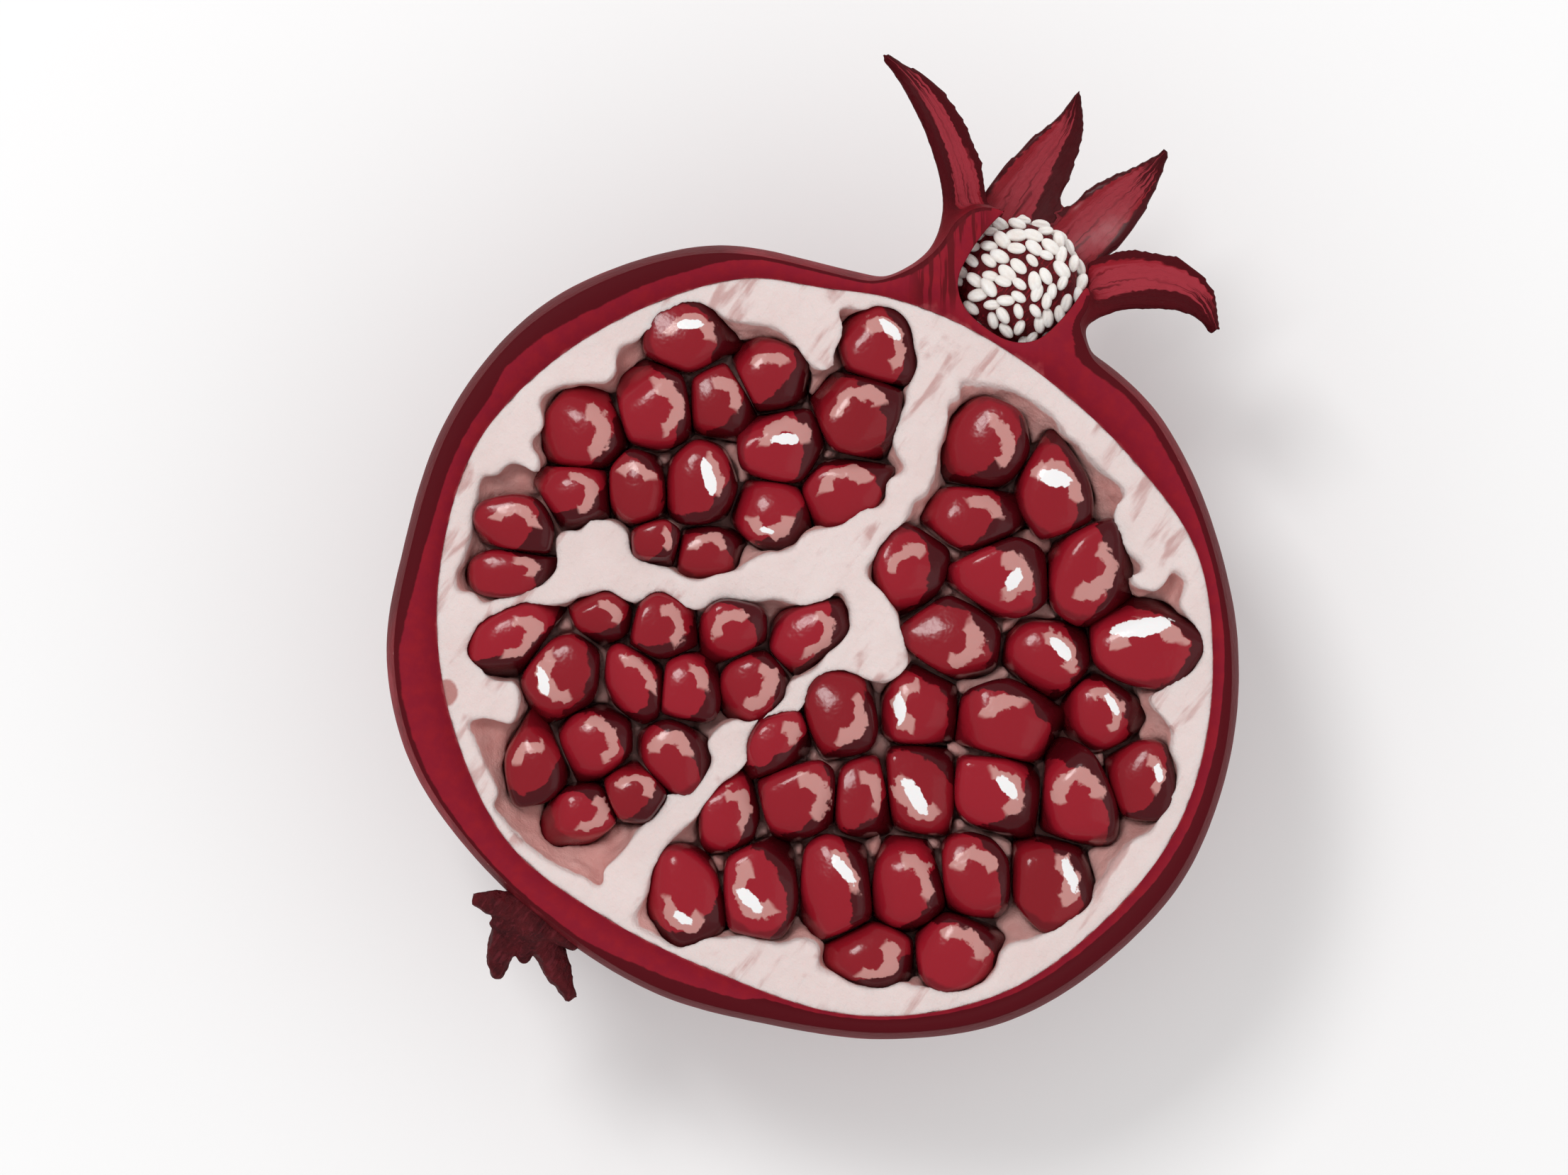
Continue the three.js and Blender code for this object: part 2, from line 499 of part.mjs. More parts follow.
// The directions of an aril's flat sides: one up, one down and a ring of sides, each drawn a little askew
function facetsOf(i) {
  const sides = FACETS.least + Math.floor(draw(i, 1) * FACETS.more);
  const facets = [];
  for (let k = 0; k < sides; k++) {
    const a = ((k + FACETS.turnStray * draw(i, 10 + k)) / sides) * 2 * Math.PI + draw(i, 2);
    const tilt = FACETS.tilt * (draw(i, 30 + k) - FACETS.tiltFrom);
    const reach = THREE.MathUtils.lerp(...FACETS.reach, draw(i, 50 + k));
    facets.push(new THREE.Vector3(Math.cos(a), Math.sin(a), tilt).normalize().divideScalar(reach));
  }
  facets.push(new THREE.Vector3(FACETS.lean * (draw(i, 70) - 0.5), FACETS.lean * (draw(i, 71) - 0.5), 1));
  facets.push(new THREE.Vector3(...UNDER_FACET));
  return facets;
}

// How far an aril reaches from its middle in a direction of the layout
function reachOf([, , long, wide, heading], angle) {
  const turn = angle - THREE.MathUtils.degToRad(heading);
  return Math.hypot((long / 2) * Math.cos(turn), (wide / 2) * Math.sin(turn));
}

// The flat sides that an aril gets where its neighbours press against it
function meetingsOf(entry, others) {
  const facets = [];
  for (const other of others) {
    const [du, dv] = [other[0] - entry[0], other[1] - entry[1]];
    const apart = Math.hypot(du, dv);
    const angle = Math.atan2(dv, du);
    const [mine, theirs] = [reachOf(entry, angle), reachOf(other, angle)];
    if (other === entry || mine + theirs < apart - PRESS_GAP) continue;
    const reach = (apart * mine) / (mine + theirs) - PRESS_GAP / 2;
    const turn = angle - THREE.MathUtils.degToRad(entry[4]);
    const facet = new THREE.Vector3((entry[2] / 2) * Math.cos(turn), (entry[3] / 2) * Math.sin(turn), 0);
    facets.push(facet.divideScalar(reach));
  }
  return facets;
}

// How hard a set of flat sides holds a point back
function hold(p, facets, sharpness) {
  return facets.reduce((sum, f) => sum + Math.max(0, p.dot(f)) ** sharpness, 0) ** (1 / sharpness);
}

// One aril: a ball pressed flat against its neighbours, in its place on the layout
function aril(entry, i, others) {
  const [u, v, long, wide, heading] = entry;
  const [own, met] = [facetsOf(i), meetingsOf(entry, others)];
  const tall = ARIL_TALL.least + ARIL_TALL.growth * wide;
  const proud = THREE.MathUtils.lerp(...ARIL_PROUD, draw(i, 5));
  const ball = new THREE.SphereGeometry(1, ARIL_MESH.columns, ARIL_MESH.rings).rotateX(Math.PI / 2);
  warp(ball, (p) => {
    const [soft, hard] = [hold(p, own, FACET_SHARPNESS), hold(p, met, PRESS_SHARPNESS)];
    const taper = 1 - ARIL_TAPER * p.x;
    p.divideScalar((soft ** PRESS_SHARPNESS + hard ** PRESS_SHARPNESS) ** (1 / PRESS_SHARPNESS));
    p.set((p.x * long) / 2, (p.y * wide * taper) / 2, (p.z * tall) / 2);
  });
  ball.rotateZ(THREE.MathUtils.degToRad(heading) + LEAN);
  const at = place(u, v, CUT_Z + proud - tall / 2);
  return solidOf(ball.translate(at.x, at.y, at.z));
}

// The thin red layer that a chamber's arils stand on
function arilBed({ centre, outline }) {
  const low = CUT_Z - CHAMBER_DEPTH + GAP;
  const [under, top] = [low - BED_ROOT, low + BED_THICKNESS];
  const profile = [[0, under], [BED_SHARE, under], [BED_SHARE, top], [0, top]];
  return solidOf(loft(outlineOf(outline, CHAMBER_COLUMNS), place(...centre), profile));
}

function anther(x, y, z, turn, i) {
  const size = THREE.MathUtils.lerp(...ANTHER_SIZES, draw(i, 3));
  const bead = new THREE.OctahedronGeometry(1, 1);
  bead.scale((ANTHER.long * size) / 2, (ANTHER.wide * size) / 2, ANTHER.tall / 2);
  bead.rotateZ(turn);
  return solidOf(bead.translate(x, y, z));
}

// Rows of anthers over the dome of packed filaments, whose headings turn from the crown's left to its right
function anthers() {
  const beads = [];
  for (let row = -ANTHER_ROWS; row <= ANTHER_ROWS; row++) {
    for (let k = -ANTHER_ROWS; k <= ANTHER_ROWS; k++) {
      const i = beads.length;
      const dx = (k + (row % 2) / 2 + ANTHER_STRAY * (draw(i, 7) - 0.5)) * ANTHER_STEP.across;
      const dy = (row + ANTHER_STRAY * (draw(i, 8) - 0.5)) * ANTHER_STEP.along;
      const out = (dx / PACK.rx) ** 2 + (dy / PACK.ry) ** 2;
      if (out > ANTHER_SPREAD) continue;
      const z = PACK.z + PACK.rz * Math.sqrt(1 - out);
      const fallen = ANTHER_TURN.fall * THREE.MathUtils.smoothstep(dx, ANTHER_TURN.from, ANTHER_TURN.to);
      const heading = ANTHER_TURN.left - fallen + ANTHER_TURN.stray * (draw(i, 9) - 0.5);
      beads.push(anther(PACK.x + dx, PACK.y + dy, z, THREE.MathUtils.degToRad(heading), i));
    }
  }
  return beads;
}

function stemStrip({ path, widths, thick }) {
  return solidOf(
    strap({
      curve: new THREE.CatmullRomCurve3(path.map(([u, v, z]) => place(u, v, STEM_Z + z))),
      widthAt: (t) => along(widths, t),
      thickAt: (t) => THREE.MathUtils.lerp(...thick, t * t),
      lookAt: () => new THREE.Vector3(...STRIP_LOOK),
      cup: STRIP_CUP,
      edge: STRIP_EDGE,
      ...STRIP_MESH,
    }),
  );
}

function slab(low, high) {
  const box = new THREE.BoxGeometry(SLAB_WIDTH, SLAB_WIDTH, high - low);
  return solidOf(box.translate(0, 0, (high + low) / 2));
}

const union = (solids) => wasm.Manifold.union(solids);

// The largest body of a solid, without loose scraps or the pockets that joining has sealed
function mainBody(solid) {
  return solid.decompose().reduce((best, body) => (body.volume() > best.volume() ? body : best));
}

function makeRind() {
  return union([skinBody(), crownTube(), ...SEPALS.map(sepal)])
    .intersect(slab(0, CUT_Z))
    .subtract(fleshBody(GAP, TOOL_RISE))
    .subtract(crownCup());
}

function makePith() {
  return fleshBody().subtract(union(Object.values(CHAMBERS).map((chamber) => chamberDish(chamber))));
}

function makeArils(name, first) {
  const room = chamberDish(CHAMBERS[name]).intersect(chamberDish(CHAMBERS[name], GAP));
  const beads = ARILS[name].map((entry, k) => aril(entry, first + k, ARILS[name]));
  return mainBody(union([arilBed(CHAMBERS[name]), ...beads]).subtract(fleshBody().subtract(room)));
}

function makeStamens() {
  const dome = new THREE.SphereGeometry(1, ...BALL_MESH).scale(PACK.rx, PACK.ry, PACK.rz);
  dome.translate(PACK.x, PACK.y, PACK.z);
  return union([solidOf(dome), ...anthers()]).intersect(crownCup(GAP));
}

function makeStem() {
  const hub = new THREE.SphereGeometry(HUB.radius, ...BALL_MESH);
  hub.translate(...place(HUB.u, HUB.v, STEM_Z).toArray());
  return union([solidOf(hub), ...STRIPS.map(stemStrip)]).subtract(skinBody(GAP));
}

const pomegranate = new THREE.Group();
pomegranate.add(meshOf("rind", makeRind()));
pomegranate.add(meshOf("pith", makePith()));
let first = 0;
for (const name of Object.keys(CHAMBERS)) {
  pomegranate.add(meshOf(`arils_${name}`, makeArils(name, first)));
  first += ARILS[name].length;
}
pomegranate.add(meshOf("stamens", makeStamens()));
pomegranate.add(meshOf("stem", makeStem()));

export default pomegranate;
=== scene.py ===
"""Dresses an open pomegranate: half a fruit on its rind, with its cut face, arils and crown in view.

Shapes are worked out in millimetres and made into meshes in metres. The layout of the cut face is given as it
is seen from above, with u to the right and v up from the middle of the fruit, where the crown leans to the
right of straight up.
"""

import logging
import math
from dataclasses import dataclass
from enum import Enum
from typing import Callable, Iterable, Sequence

import bmesh
import bpy
import numpy as np
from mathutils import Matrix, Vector, kdtree, noise


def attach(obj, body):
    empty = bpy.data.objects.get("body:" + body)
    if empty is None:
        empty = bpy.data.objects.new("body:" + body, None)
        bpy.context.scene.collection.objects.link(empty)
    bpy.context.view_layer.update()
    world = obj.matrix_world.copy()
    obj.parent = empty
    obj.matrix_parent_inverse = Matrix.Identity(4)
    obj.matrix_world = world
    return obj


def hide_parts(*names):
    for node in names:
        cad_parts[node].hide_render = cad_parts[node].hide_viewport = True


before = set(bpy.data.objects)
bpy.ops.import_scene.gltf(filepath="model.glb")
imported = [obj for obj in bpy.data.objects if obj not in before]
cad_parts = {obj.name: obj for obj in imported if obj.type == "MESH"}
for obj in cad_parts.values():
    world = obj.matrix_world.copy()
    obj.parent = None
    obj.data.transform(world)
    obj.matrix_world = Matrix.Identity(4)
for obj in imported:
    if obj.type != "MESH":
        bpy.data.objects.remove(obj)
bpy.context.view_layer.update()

log = logging.getLogger("pomegranate")

MM = 0.001
LEAN = math.radians(37)
CUT_Z = 52.0
WIDEST_Z = 44.0
EYE_HEIGHT = 1000.0
EYE_SPOT = (-4.0, 8.05)

Spot = tuple[float, float]
Profile = list[tuple[float, float]]
Socket = bpy.types.NodeSocket
Inputs = dict[str | int, object]

# The fruit's widest outline, without its crown
SKIN_OUTLINE: tuple[Spot, ...] = (
    (-12, 52), (5, 48.7), (20, 44.6), (33, 39.8), (42, 33), (46.6, 26.5), (51.2, 16), (54.3, 1),
    (53.3, -14.3), (47.3, -29.5), (36.3, -41), (24.3, -47.8), (10, -50), (-6, -48.1), (-20.4, -44.2),
    (-32.6, -36.9), (-44.4, -26), (-52.2, -14.2), (-55.1, -1), (-53, 13), (-47.6, 29.4), (-38, 42),
    (-25, 49.4),
)

# The edge of the pale flesh on the cut face
PITH_OUTLINE: tuple[Spot, ...] = (
    (-9, 47.6), (1, 46.4), (10, 45), (20, 41), (30.5, 34), (40.5, 24.5), (48.6, 13), (50.8, 0),
    (49.5, -13.5), (45.5, -24), (37.5, -34), (26, -42.8), (14, -46.4), (2, -46.2), (-13, -41),
    (-26.6, -34.3), (-39, -24.9), (-45.6, -12), (-48.2, 0), (-47.8, 12), (-43.5, 26), (-34.5, 36.2),
    (-22, 43.8),
)

# How much of the cut band is painted dark, partly as its outer skin line and partly as painted shade: a
# direction of the layout in degrees, and the share
SKIN_SHADE: tuple[Spot, ...] = (
    (0, 0.3), (20, 0.2), (40, 0.1), (52, 0.3), (60, 0.12), (85, 0.08), (98, 0.1), (108, 0.42), (122, 0.5),
    (138, 0.3), (142, 0.5), (160, 0.48), (172, 0.3), (180, 0.08), (215, 0.05), (232, 0.08), (240, 0.3),
    (258, 0.42), (262, 0.75), (290, 0.8), (320, 0.62), (335, 0.5), (352, 0.42), (360, 0.3),
)


class Hollow(Enum):
    """The three seed chambers that the cut opens."""

    UPPER = "upper"
    LEFT = "left"
    RIGHT = "right"


# Each chamber's middle, which its walls lean towards, and its outline on the cut face
CHAMBER_MIDDLE: dict[Hollow, Spot] = {
    Hollow.UPPER: (-21, 24),
    Hollow.LEFT: (-23, -6),
    Hollow.RIGHT: (20, -9),
}
CHAMBER_OUTLINE: dict[Hollow, tuple[Spot, ...]] = {
    Hollow.UPPER: (
        (-46.2, 7.6), (-44.5, 13.5), (-43.4, 18.7), (-42.5, 22.8), (-41.1, 21.8), (-40.2, 23.2),
        (-38.9, 24), (-37.1, 23.5), (-35.9, 22.1), (-35.2, 24.1), (-36.6, 26.8), (-34.9, 28.2),
        (-34.9, 30.4), (-35.4, 31.9), (-33.7, 33.3), (-31.6, 34), (-29.4, 34.2), (-26.4, 34.4),
        (-25.4, 36), (-25.2, 38.4), (-20.6, 40.7), (-19, 42), (-17.2, 43.9), (-15.4, 44.4), (-13, 43.7),
        (-11.2, 42.2), (-8.9, 41.8), (-6.9, 41.8), (-5, 41.2), (-3.1, 39.6), (-1.4, 37.5), (0.2, 35.8),
        (2.6, 36.3), (2.5, 38), (3.5, 39.8), (3.4, 42.2), (3.2, 44), (5.8, 43.5), (8.1, 44.2),
        (10.5, 43.5), (12.2, 41.7), (12.9, 38.9), (13, 36.1), (12, 33.6), (11.6, 31.2), (9.6, 28),
        (10.4, 25.7), (11.9, 22.8), (9.5, 22.1), (8.8, 18.3), (6.2, 18), (3.4, 16), (0.4, 15.4),
        (-1.6, 14.5), (-3, 12.7), (-6.6, 12.2), (-8.6, 11.2), (-9.7, 10.2), (-12, 10), (-14.5, 8.9),
        (-16.4, 9.1), (-18.8, 10.4), (-21.5, 11.7), (-22.9, 14), (-25.7, 16.5), (-29.5, 16.6),
        (-29.8, 14.9), (-31.6, 15.5), (-33.3, 14.4), (-33, 12.5), (-33.2, 10.4), (-34.6, 8.6),
        (-37.8, 8.2), (-40, 7.3), (-42.4, 5.7), (-43.7, 7.2),
    ),
    Hollow.LEFT: (
        (-44.6, 0), (-43.7, 2), (-41.8, 4), (-39.6, 5.2), (-37.4, 5.8), (-34.2, 5.8), (-32.6, 5.9),
        (-30.8, 6.6), (-29.4, 7.2), (-27.9, 7.6), (-26, 7.5), (-24.2, 6.3), (-22.6, 6.2), (-20.6, 7),
        (-18.7, 6.4), (-17.6, 5.5), (-12.7, 5.5), (-11.6, 5.9), (-8.6, 6.1), (-4.8, 6.6), (-1.7, 5.7),
        (1.4, 6.3), (3.5, 8), (4.3, 5.8), (4.5, 3), (3.5, 1.4), (1.6, -0.3), (0.6, -1.8), (-1.7, -3.3),
        (-3.3, -4), (-3.9, -5.6), (-6, -7.8), (-8.4, -9.1), (-10, -8.7), (-13.5, -11), (-13.9, -12.4),
        (-12.8, -14), (-14.3, -15.4), (-16, -17.2), (-19.4, -18.3), (-20, -19.7), (-22.2, -22.1),
        (-24.1, -25.1), (-25.4, -26.7), (-27.1, -28.2), (-27.3, -30.9), (-29.6, -29), (-32.5, -27.9),
        (-36.2, -25.6), (-38.6, -23.3), (-41.4, -19.6), (-40.4, -18.6), (-42.4, -14.2), (-43.7, -11.1),
        (-44.7, -9.4), (-43, -8.6), (-40.8, -9), (-38.7, -9.4), (-37.9, -6.9), (-38.3, -4.1),
        (-41.8, -3.4), (-42.8, -1.8),
    ),
    Hollow.RIGHT: (
        (16.9, 32), (18.4, 32.4), (18.5, 33.9), (17.9, 34.8), (21.2, 34.2), (24, 34), (28.1, 31.8),
        (29.5, 31), (31.9, 28), (34.3, 25.6), (36.9, 23), (39.8, 20.1), (38.4, 18.7), (37.9, 17.2),
        (37.4, 15.6), (39.3, 13.2), (42.3, 10.5), (39.9, 9.5), (41.3, 8.2), (43.4, 7.6), (44.7, 8.6),
        (45.9, 10.6), (47.6, 8.8), (46.9, 7), (46.6, 5.8), (47.9, 4), (49.1, 1.6), (49.4, -0.3),
        (49, -1.9), (47.6, -2.8), (45.8, -3.6), (44, -4.9), (42.7, -6), (43.3, -7.4), (45.2, -9.2),
        (45.9, -10.9), (45.5, -12.6), (46.4, -14.7), (45.8, -17.7), (44.3, -19.8), (43.1, -23.2),
        (40.9, -24.2), (39.3, -25.5), (37.6, -27.8), (35.9, -30.3), (34.2, -33.2), (32.2, -34.6),
        (29.9, -35.7), (27.9, -36.8), (23.9, -38.3), (22.8, -41.4), (20.7, -42.9), (16.9, -43.4),
        (14.4, -42.7), (12.6, -43.3), (11.2, -42.6), (7.7, -43.3), (5.2, -42.9), (2.8, -41.7), (0.3, -41),
        (0.3, -37.9), (-2.4, -36.9), (-4.7, -37.7), (-8.3, -36.7), (-11.5, -36.8), (-14.2, -36.9),
        (-17.9, -38), (-19.9, -37), (-23.6, -34.6), (-21.8, -31.4), (-21.2, -29.2), (-19.8, -26),
        (-18.1, -23.6), (-15.9, -21.9), (-14, -20), (-12.8, -18.4), (-11.7, -16.6), (-10, -15.6),
        (-8.7, -14.8), (-7.9, -12.6), (-5.8, -10.1), (-3.6, -8.3), (-1.3, -7.7), (-0.3, -5.5), (1, -3.2),
        (3.1, -2.6), (5.6, -3.2), (7.3, -4), (9.7, -3.8), (11.7, -2.2), (11.6, 0.3), (11, 2.6), (9.9, 5.6),
        (8, 8.2), (6.1, 10.1), (7.1, 11.5), (8.3, 13.6), (10.2, 15.2), (11.6, 17.1), (12.3, 18.9),
        (14.2, 20.2), (14.9, 21.9), (15.7, 24.1), (15.5, 25.8), (16.4, 27.8), (17, 29.9),
    ),
}

# The arils of each chamber: u, v, length, width and the heading of the length in degrees
ARILS: dict[Hollow, tuple[tuple[float, float, float, float, float], ...]] = {
    Hollow.UPPER: (
        (-16, 40, 10.4, 8.6, 0), (-29.5, 28, 11.6, 10.4, 100), (-20.2, 31, 11, 9.6, 80),
        (-12.3, 31.8, 9.2, 8.2, 100), (-5.8, 35.2, 9.6, 8.4, 150), (8.3, 39, 11.2, 9.2, 95),
        (5.6, 30.3, 11.4, 10.2, 60), (-4, 26.2, 11, 9.2, 35), (-14.7, 21.4, 11.6, 8.8, 85),
        (-22.8, 21, 10, 7.4, 100), (-30.7, 20.2, 9.2, 7.8, 170), (3.7, 20.5, 11.4, 8, 25),
        (-5.5, 17.5, 9.8, 9.2, 140), (-20.2, 14, 5.8, 5, 0), (-13.7, 12.7, 7.8, 6.8, 10),
        (-38.3, 16, 10.2, 7.2, 170), (-38.9, 10.1, 11.2, 5.8, 5),
    ),
    Hollow.LEFT: (
        (-38.8, 1.8, 12.2, 7.2, 22), (-27.3, 4.3, 7.6, 6.4, 170), (-19.4, 3, 8.8, 8, 100),
        (-10.4, 2.7, 8.8, 7, 8), (-0.8, 2, 11.6, 7, 35), (-32.2, -3, 11, 9.6, 60),
        (-23, -4, 11.4, 6.6, 120), (-16.2, -4.5, 9, 8, 110), (-7.8, -4.4, 9.4, 8.6, 60),
        (-28.1, -11.6, 9.6, 8.8, 20), (-18.3, -13.3, 9.6, 8.4, 120), (-35.7, -14.6, 9.6, 8, 90),
        (-29.4, -20.6, 8.6, 7.2, 10), (-23.2, -18.1, 8, 6.6, 15),
    ),
    Hollow.RIGHT: (
        (21.9, 26.3, 11.6, 10.4, 100), (30.7, 20.4, 12.6, 8.8, 105), (20.3, 17, 12, 8, 170),
        (12, 10.3, 10, 8.2, 80), (23.5, 9.5, 12.8, 9.4, 175), (34.8, 10.5, 12.8, 9.8, 75),
        (17.7, 1.5, 12.2, 9.6, 170), (29.7, -0.6, 11.4, 9.2, 155), (42.2, 0.9, 14.6, 9.6, 5),
        (36.5, -7.8, 9.6, 8.4, 130), (41.8, -16.3, 9.8, 8.6, 70), (13.2, -7.3, 10.6, 9.6, 100),
        (24.4, -9, 12.4, 9.6, 170), (3.4, -8.1, 11.2, 9.4, 95), (-4.8, -11.8, 9.8, 6.2, 50),
        (-1.8, -18.9, 10.6, 9.8, 30), (5.9, -18.8, 10.6, 7.4, 80), (13.5, -17.6, 12.8, 9.8, 110),
        (22.8, -18.2, 12.6, 9.8, 160), (33.6, -18.8, 11.8, 9.6, 110), (-10.8, -20.8, 10.4, 7, 75),
        (-16.5, -31.6, 13, 9.6, 105), (-7, -30.1, 11.8, 9.8, 90), (2.6, -30, 13.6, 9.2, 100),
        (11.8, -30, 12, 9.8, 90), (20.3, -28.8, 11.6, 9, 110), (30.1, -29.3, 11.8, 10.2, 130),
        (7, -39.1, 11.4, 8.4, 175), (18.2, -38.4, 10.8, 9.6, 0),
    ),
}

# The painted white highlights that some arils are given: u, v, and half their length as a share of the aril's
# half width
GLINTS: tuple[tuple[float, float, float], ...] = (
    (-16, 41.6, 0.34), (9.5, 41, 0.34), (-3.9, 27, 0.36), (-13.6, 22, 0.42), (-6, 15.2, 0.18),
    (-34.6, -4, 0.36), (30.6, 22, 0.46), (25.2, 9, 0.34), (41.7, 3, 0.56), (31.2, 0.4, 0.4), (38, -7, 0.34),
    (10.8, -7.4, 0.38), (43.8, -15.6, 0.28), (12.6, -18.4, 0.46), (24.5, -17.4, 0.36), (-17, -34, 0.24),
    (-8.2, -32, 0.38), (3.6, -28, 0.36), (32.5, -28.7, 0.38),
)

# How much bigger across the dressed arils are than the bare ones, so that they touch
PLUMP = 0.6

# How many faces go round the skin, the flesh and a chamber before they are fused
SKIN_COLUMNS = 220
FLESH_COLUMNS = 200
CHAMBER_COLUMNS = 360

# Keeps the roughness of the flesh and the wood the same in every run
NOISE_SEED = 7


def draw(i: int, k: int) -> float:
    """Gives a repeatable number from 0 to 1 for a pair of whole numbers."""
    s = math.sin(i * 12.9898 + k * 78.233 + 3.7) * 43758.5453
    return s - math.floor(s)


def place(u: float, v: float, z: float = 0.0) -> Vector:
    """Turns a spot of the layout into the part's own frame.

    Args:
        u: distance to the right on the layout.
        v: distance up on the layout.
        z: height above the table.

    Returns:
        The point in millimetres.
    """
    c, s = math.cos(LEAN), math.sin(LEAN)
    return Vector((u * c - v * s, u * s + v * c, z))


def on_layout(point: Vector) -> Spot:
    """Turns a point of the part's own frame into a spot of the layout."""
    c, s = math.cos(LEAN), math.sin(LEAN)
    return (point.x * c + point.y * s, point.y * c - point.x * s)


def rounded_between(p0: Vector, p1: Vector, p2: Vector, p3: Vector, t: float) -> Vector:
    """Gives a point between p1 and p2 on a smooth curve through four points.

    Args:
        p0: the point before the stretch.
        p1: the stretch's start.
        p2: its end.
        p3: the point after it.
        t: how far along, from 0 to 1.

    Returns:
        The point on the curve.
    """
    d0, d1, d2 = (max(1e-4, math.sqrt((b - a).length)) for a, b in ((p0, p1), (p1, p2), (p2, p3)))
    m1 = ((p1 - p0) / d0 - (p2 - p0) / (d0 + d1) + (p2 - p1) / d1) * d1
    m2 = ((p2 - p1) / d1 - (p3 - p1) / (d1 + d2) + (p3 - p2) / d2) * d1
    return p1 + m1 * t + (3 * (p2 - p1) - 2 * m1 - m2) * t**2 + (2 * (p1 - p2) + m1 + m2) * t**3


def outline_points(spots: Sequence[Spot], count: int, margin: float = 0.0) -> list[Vector]:
    """Spaces points evenly along a smooth closed outline.

    Args:
        spots: the outline's spots, which run clockwise on the layout.
        count: how many points to give.
        margin: how far the outline is grown outwards.

    Returns:
        The points, which run anticlockwise.
    """
    corners = [place(u, v) for u, v in spots]
    n = len(corners)
    fine = [
        rounded_between(corners[k - 1], corners[k], corners[(k + 1) % n], corners[(k + 2) % n], step / 20)
        for k in range(n)
        for step in range(20)
    ]
    fine.append(fine[0])
    walked = np.concatenate([[0.0], np.cumsum([(b - a).length for a, b in zip(fine, fine[1:])])])
    wanted = np.linspace(0, walked[-1], count, endpoint=False)
    even = np.stack([np.interp(wanted, walked, [p[axis] for p in fine]) for axis in range(3)], axis=1)[::-1]
    edge = np.roll(even, -1, axis=0) - np.roll(even, 1, axis=0)
    edge /= np.linalg.norm(edge, axis=1)[:, None]
    outward = np.stack([edge[:, 1], -edge[:, 0], np.zeros(count)], axis=1)
    return [Vector(p) for p in even + outward * margin]


class Path:
    """A smooth open line through a few points."""

    def __init__(self, points: Iterable[Sequence[float]]) -> None:
        """Keeps the points that the line passes through."""
        self.points = [Vector(p) for p in points]

    def at(self, t: float) -> Vector:
        """Gives the point at a share of the way along.

        Args:
            t: the share, from 0 to 1.

        Returns:
            The point.
        """
        last = len(self.points) - 1
        t = min(max(t, 0.0), 1.0) * last
        k = min(int(t), last - 1)
        before = self.points[k - 1] if k > 0 else 2 * self.points[0] - self.points[1]
        after = self.points[k + 2] if k + 2 <= last else 2 * self.points[last] - self.points[last - 1]
        return rounded_between(before, self.points[k], self.points[k + 1], after, t - k)

    def direction(self, t: float) -> Vector:
        """Gives the line's direction at a share of the way along."""
        return (self.at(min(1.0, t + 0.001)) - self.at(max(0.0, t - 0.001))).normalized()


def eased(values: Sequence[float], t: float) -> float:
    """Gives the value at a share of the way along a list, rounded between its entries.

    Args:
        values: the list.
        t: the share, from 0 to 1.

    Returns:
        The value.
    """
    at = min(max(t, 0.0), 1.0) * (len(values) - 1)
    k = min(int(at), len(values) - 2)
    ends = [values[max(0, k - 1)], values[k], values[k + 1], values[min(len(values) - 1, k + 2)]]
    f = at - k
    slope_in, slope_out = (ends[2] - ends[0]) / 2, (ends[3] - ends[1]) / 2
    rise = ends[2] - ends[1]
    bend = (3 * rise - 2 * slope_in - slope_out) * f**2
    return ends[1] + slope_in * f + bend + (slope_in + slope_out - 2 * rise) * f**3


def reshape(verts: Sequence[bmesh.types.BMVert], move: Callable[[np.ndarray], np.ndarray]) -> None:
    """Moves vertices by a function of all their places at once.

    Args:
        verts: the vertices.
        move: gives the new places for the old ones.
    """
    if not verts:
        return
    for vert, spot in zip(verts, move(np.array([v.co[:] for v in verts], dtype=float))):
        vert.co = spot


def new_ball(columns: int, rings: int) -> bmesh.types.BMesh:
    """Starts a mesh as a ball of columns and rings.

    Args:
        columns: how many faces go round it.
        rings: how many go from pole to pole.

    Returns:
        The mesh.
    """
    bm = bmesh.new()
    bmesh.ops.create_uvsphere(bm, u_segments=columns, v_segments=rings, radius=1.0)
    return bm


def ball_steps(places: np.ndarray, columns: int, rings: int) -> tuple[np.ndarray, np.ndarray]:
    """Finds each ball vertex's column, and its ring counted from the lower pole.

    Args:
        places: the vertices' places.
        columns: how many columns the ball has.
        rings: how many rings it has.

    Returns:
        The columns and the rings.
    """
    turn = np.arctan2(places[:, 1], places[:, 0]) / (2 * math.pi)
    column = np.rint(turn * columns).astype(int) % columns
    ring = np.rint((1 - np.arccos(np.clip(places[:, 2], -1, 1)) / math.pi) * rings).astype(int)
    return column, ring


def lofted(outline: Sequence[Vector], centre: Vector, profile: Profile) -> bmesh.types.BMesh:
    """Makes a solid whose level cuts are one outline, drawn in towards a centre.

    Args:
        outline: the outline's points.
        centre: the point that it is drawn in to.
        profile: the share of the outline and the height, from the lowest point to the highest.

    Returns:
        The solid, as a ball pulled into shape.
    """
    columns, rings = len(outline), len(profile) - 1
    bm = new_ball(columns, rings)
    rim = np.array([p[:] for p in outline])
    middle = np.array(centre[:])
    steps = np.array(profile)

    def move(places: np.ndarray) -> np.ndarray:
        """Draws each ring in to its share of the outline, at its height.

        Args:
            places: the vertices' places.

        Returns:
            The places after the move.
        """
        column, ring = ball_steps(places, columns, rings)
        moved = middle + steps[ring, 0][:, None] * (rim[column] - middle)
        moved[:, 2] = steps[ring, 1]
        return moved

    reshape(bm.verts[:], move)
    return bm


